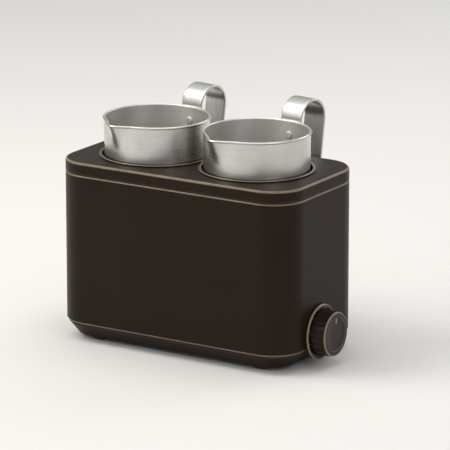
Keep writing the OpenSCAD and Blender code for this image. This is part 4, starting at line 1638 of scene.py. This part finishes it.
@dataclass
class StrapHandle(Assembly):
    """Strap handle that hooks over the back edge, with its two rivets, in millimetres."""

    cup: WarmingCup
    width: float = 17.5
    thick: float = 1.8
    arch: float = 14.4
    lean: float = 8.0
    leg: float = 40.0
    pad: float = 17.0
    pad_drop: float = 3.0
    pad_corner: float = 3.0
    pad_step: float = 4.0
    neck_drop: float = 1.5
    clear: float = 0.05
    edge: float = 0.55
    # Share of half the thickness or width that a rounded edge may take up
    edge_share: float = 0.98
    tip: float = 0.35
    head: float = 2.7
    # Height of the outer head's edge, and how far its dome rises over that
    dome: tuple[float, float] = (0.25, 0.95)
    # First and last angle of the dome's rings, in radians
    dome_swing: tuple[float, float] = (0.15, 1.5)
    # Distance in from the inner head's edge and height above the wall
    inner_head: tuple[tuple[float, float], ...] = ((0.0, 0.0), (0.0, 0.5), (0.2, 0.72), (0.5, 0.8))
    rivet_low: float = 3.5
    rivet_step: float = 7.0
    rivets: int = 2
    pad_steps: int = 16
    neck_steps: int = 12
    arch_steps: int = 48
    leg_steps: int = 14
    end_steps: int = 16
    face_steps: int = 11
    corner_steps: int = 5
    rivet_steps: int = 40
    dome_steps: int = 9

    def inner_y(self) -> float:
        """Distance of the strap's inner face from the cup's axis, past the bead."""
        return self.cup.rim_radius - self.cup.bead_sink + self.cup.bead / 2 + self.clear

    def pad_top(self) -> float:
        """Height of the top of the pad above the cup's foot."""
        return self.cup.height - self.pad_drop

    def path(self) -> list[tuple[float, float, float]]:
        """Middle line of the strap, from the foot of the pad over the arch to the leg's end.

        Returns:
            Distance from the axis, height and how flat the strap lies, for each point.
        """
        top, half = self.pad_top(), self.thick / 2
        step_z = top - self.pad_step
        line: list[tuple[float, float, float]] = []
        for z in np.linspace(top - self.pad, step_z, self.pad_steps):
            line.append((self.cup.wall_radius(z) + half, float(z), 0.0))
        start = line[-1][0]
        end = self.inner_y() + half
        for share in np.linspace(0, 1, self.neck_steps)[1:]:
            smooth = share * share * (3 - 2 * share)
            line.append((start + (end - start) * smooth, step_z + self.pad_step * share, smooth))
        line.append((end, self.cup.height - self.neck_drop, 1.0))
        middle = self.inner_y() + self.arch
        centre = (middle, self.cup.height)
        for y, z in arc(centre, self.arch - half, 180, -self.lean, self.arch_steps):
            line.append((y, z, 1.0))
        lean = math.radians(self.lean)
        last_y, last_z, _ = line[-1]
        round_end = self.width / 2
        straight = np.linspace(0, self.leg - round_end, self.leg_steps)[1:]
        turns = np.linspace(0, math.pi / 2, self.end_steps)[1:]
        rounded = self.leg - round_end * (1 - np.sin(turns))
        for run in np.concatenate([straight, rounded]):
            line.append((last_y - run * math.sin(lean), last_z - run * math.cos(lean), 1.0))
        return line

    def half_width(self, run: float, total: float) -> float:
        """Half width of the strap at a place on it, for the pad's corners and the round end.

        Args:
            run: Length of strap up to the place.
            total: Length of the whole strap.

        Returns:
            The half width there.
        """
        half = self.width / 2
        if run < self.pad_corner:
            left = self.pad_corner - run
            return half - self.pad_corner + math.sqrt(max(self.pad_corner**2 - left**2, 0.0))
        left = run - (total - half)
        if left > 0:
            return math.sqrt(max(half**2 - left**2, 0.0))
        return half

    def section(self, half: float, thick: float) -> list[tuple[float, float]]:
        """Outline across the strap: place across it and height off its middle.

        Args:
            half: Half width here.
            thick: Thickness here.

        Returns:
            Points round the section, with rounded corners.
        """
        edge = min(self.edge, thick / 2 * self.edge_share, half * self.edge_share)
        points: list[tuple[float, float]] = []
        face = np.linspace(-1, 1, self.face_steps)[1:-1] * (half - edge)
        for sx, sy, start in ((1, 1, 0), (-1, 1, 90), (-1, -1, 180), (1, -1, 270)):
            centre = (sx * (half - edge), sy * (thick / 2 - edge))
            points += arc(centre, edge, start, start + 90, self.corner_steps)
            if sx == sy:
                points += [(-sy * across, sy * thick / 2) for across in face]
        return points

    def strap(self) -> tuple[list[np.ndarray], list[np.ndarray]]:
        """Rings across the strap all along it.

        Returns:
            The rings, and each point's place on the flat strip.
        """
        line = np.array(self.path())
        steps = np.linalg.norm(np.diff(line[:, :2], axis=0), axis=1)
        runs = np.concatenate([[0.0], np.cumsum(steps)])
        total = float(runs[-1])
        tangent = np.gradient(line[:, :2], axis=0)
        tangent /= np.linalg.norm(tangent, axis=1)[:, None]
        rings, flat = [], []
        for (y, z, smooth), along, run in zip(line, tangent, runs):
            near_end = min(run, total - run)
            left = max(self.edge - near_end, 0.0)
            thin = self.edge - math.sqrt(max(self.edge**2 - left**2, 0.0))
            half = max(self.half_width(float(run), total), self.tip)
            across, off = np.array(self.section(half, self.thick - 2 * thin)).T
            # The pad follows the cup's round wall; the rest of the strap is flat across.
            bow = (np.sqrt(np.maximum(y * y - across**2, 0.0)) - y) * (1 - smooth)
            rings.append(np.column_stack([across, y + off * along[1] + bow, z - off * along[0]]))
            flat.append(np.column_stack([across, np.full(len(across), run), off]))
        return rings, flat

    def rivet_rings(self, z: float) -> list[list[np.ndarray]]:
        """Rings of the outer and the inner head of a rivet.

        Args:
            z: Height of the rivet above the cup's foot.

        Returns:
            The rings of the outer and of the inner head.
        """
        head, wall = self.head, self.cup.wall_radius(z)
        edge, rise = self.dome
        outer = [(head, 0.0), (head, edge)]
        swing = np.linspace(*self.dome_swing, self.dome_steps)
        outer += [(head * math.cos(t), edge + rise * math.sin(t)) for t in swing]
        inner = [(head - inward, up) for inward, up in self.inner_head]
        inner.append((HUB_MM, self.inner_head[-1][1]))
        heads = []
        seats = ((outer, wall + self.thick, 1), (inner, wall - self.cup.wall, -1))
        for profile, seat, facing in seats:
            heads.append([
                np.column_stack([ring[:, 0], seat + facing * ring[:, 2], z + facing * ring[:, 1]])
                for ring in revolved(profile, self.rivet_steps)
            ])
        return heads

    def build(self) -> list[bpy.types.Object]:
        """Builds the strap and the rivets in the cup's own frame and dresses them.

        Returns:
            The strap and the rivet heads.
        """
        side = self.cup.side.value
        pieces = [(skin(f"strap_handle_{side}", *self.strap()), STRAP_ALUMINIUM)]
        for step in range(self.rivets):
            z = self.pad_top() - self.pad + self.rivet_low + step * self.rivet_step
            for face, head in zip(("outer", "inner"), self.rivet_rings(z)):
                pieces.append((skin(f"rivet_{face}_{step + 1}_{side}", head), CUP_ALUMINIUM))
        for piece, finish in pieces:
            piece.location = self.cup.axis()
            piece.rotation_euler = (0.0, 0.0, -math.radians(self.cup.turn))
            self.fit(piece, finish, f"{side}_cup", "strap_aluminium")
        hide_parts(f"handle_{side}")
        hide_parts(f"rivets_{side}")
        return [piece for piece, _ in pieces]


# ---- Studio ----


@dataclass
class Softbox:
    """One soft lamp: where it stands, how large and how strong it is, in metres and watts."""

    name: str
    place: tuple[float, float, float]
    size: tuple[float, float]
    power: float
    colour: str = "#FFFFFF"


@dataclass
class Studio:
    """Floor, lamps, world and camera, in metres and degrees."""

    azimuth: float = 32.0
    elevation: float = 15.0
    distance: float = 2.62
    lens: float = 300.0
    clip_end: float = 50.0
    floor_size: float = 14.0
    world_light: float = 0.56
    backdrop: str = "#E9E7E4"
    mirrored: tuple[tuple[float, str], ...] = (
        (0.0, "#C9C7C4"), (0.22, "#A09E9C"), (0.45, "#C9C8C6"), (0.8, "#F4F4F3"),
    )
    target: tuple[float, float, float] = (0.003, 0.0, 0.0835)
    lamps: tuple[Softbox, ...] = (
        Softbox("key", (-0.70, -0.42, 1.10), (0.5, 0.7), 7.6, "#FFFBF5"),
        Softbox("front", (-0.9, -1.3, 0.9), (0.9, 0.9), 3.1),
        Softbox("fill", (1.35, -0.55, 0.75), (0.8, 1.0), 2.6, "#F6F9FF"),
        Softbox("rim", (0.42, 1.25, 0.85), (0.9, 0.5), 3.6),
        Softbox("top", (0.0, 0.1, 1.4), (1.1, 0.9), 4.2),
    )

    def build(self) -> None:
        """Sets the whole studio up."""
        self.make_floor()
        self.make_world()
        for lamp in self.lamps:
            self.make_lamp(lamp)
        self.make_camera()
        bpy.context.scene.view_settings.view_transform = "Standard"

    def make_floor(self) -> None:
        """Lays the pale sweep under the machine."""
        half = self.floor_size / 2
        mesh = bpy.data.meshes.new("floor")
        corners = [(-half, -half, 0), (half, -half, 0), (half, half, 0), (-half, half, 0)]
        mesh.from_pydata(corners, [], [(0, 1, 2, 3)])
        mesh.materials.append(SWEEP_PAPER.material())
        floor = bpy.data.objects.new("floor", mesh)
        bpy.context.scene.collection.objects.link(floor)

    def make_world(self) -> None:
        """Makes a plain soft surround that metal sees as pale with a darker band."""
        world = bpy.data.worlds.new("studio")
        bpy.context.scene.world = world
        world.use_nodes = True
        tree = world.node_tree
        tree.nodes.clear()
        place = add_node(tree, "ShaderNodeTexCoord").outputs["Generated"]
        height = add_node(tree, "ShaderNodeSeparateXYZ", inputs={0: place}).outputs["Z"]
        shades = add_node(
            tree, "ShaderNodeValToRGB", inputs={"Fac": height}, stops=self.mirrored
        ).outputs[0]
        paths = add_node(tree, "ShaderNodeLightPath").outputs
        seen = add_node(
            tree,
            "ShaderNodeBackground",
            inputs={"Color": linear(self.backdrop), "Strength": WHITE_LEVEL},
        ).outputs[0]
        mirrored = add_node(
            tree,
            "ShaderNodeBackground",
            inputs={"Color": shades, "Strength": WHITE_LEVEL},
        ).outputs[0]
        light = add_node(
            tree,
            "ShaderNodeBackground",
            inputs={"Color": linear("#FFFFFF"), "Strength": self.world_light},
        ).outputs[0]
        glossy = add_node(
            tree, "ShaderNodeMixShader", inputs={0: paths["Is Glossy Ray"], 1: light, 2: mirrored}
        ).outputs[0]
        final = add_node(
            tree, "ShaderNodeMixShader", inputs={0: paths["Is Camera Ray"], 1: glossy, 2: seen}
        ).outputs[0]
        add_node(tree, "ShaderNodeOutputWorld", inputs={"Surface": final})

    def make_lamp(self, lamp: Softbox) -> None:
        """Hangs one soft lamp, aimed at the machine.

        Args:
            lamp: What to hang and where.
        """
        data = bpy.data.lights.new(lamp.name, "AREA")
        data.shape = "RECTANGLE"
        data.size, data.size_y = lamp.size
        data.energy = lamp.power
        data.color = linear(lamp.colour)[:3]
        hung = bpy.data.objects.new(lamp.name, data)
        hung.location = lamp.place
        aim = Vector(self.target) - Vector(lamp.place)
        hung.rotation_euler = aim.to_track_quat("-Z", "Y").to_euler()
        bpy.context.scene.collection.objects.link(hung)

    def make_camera(self) -> None:
        """Sets the camera at the angle from which the machine is drawn."""
        data = bpy.data.cameras.new("camera")
        data.lens = self.lens
        data.clip_end = self.clip_end
        camera = bpy.data.objects.new("camera", data)
        turn, rise = math.radians(self.azimuth), math.radians(self.elevation)
        out = Vector(
            (math.sin(turn) * math.cos(rise), -math.cos(turn) * math.cos(rise), math.sin(rise))
        )
        camera.location = Vector(self.target) + self.distance * out
        camera.rotation_euler = (-out).to_track_quat("-Z", "Y").to_euler()
        bpy.context.scene.collection.objects.link(camera)
        bpy.context.scene.camera = camera


def main() -> None:
    """Builds the studio and each sub-assembly in order, and reports each piece."""
    logging.basicConfig(level=logging.INFO, format="%(name)s: %(message)s")
    Studio().build()
    groups: list[Assembly] = [Body(), WaterBath(), Heater(), Wiring(), Dial()]
    for side in Side:
        cup = WarmingCup(side)
        groups += [cup, StrapHandle(cup)]
    for group in groups:
        for piece in group.build():
            log.info("%s: %s", type(group).__name__, piece.name)


if __name__ == "__main__":
    main()
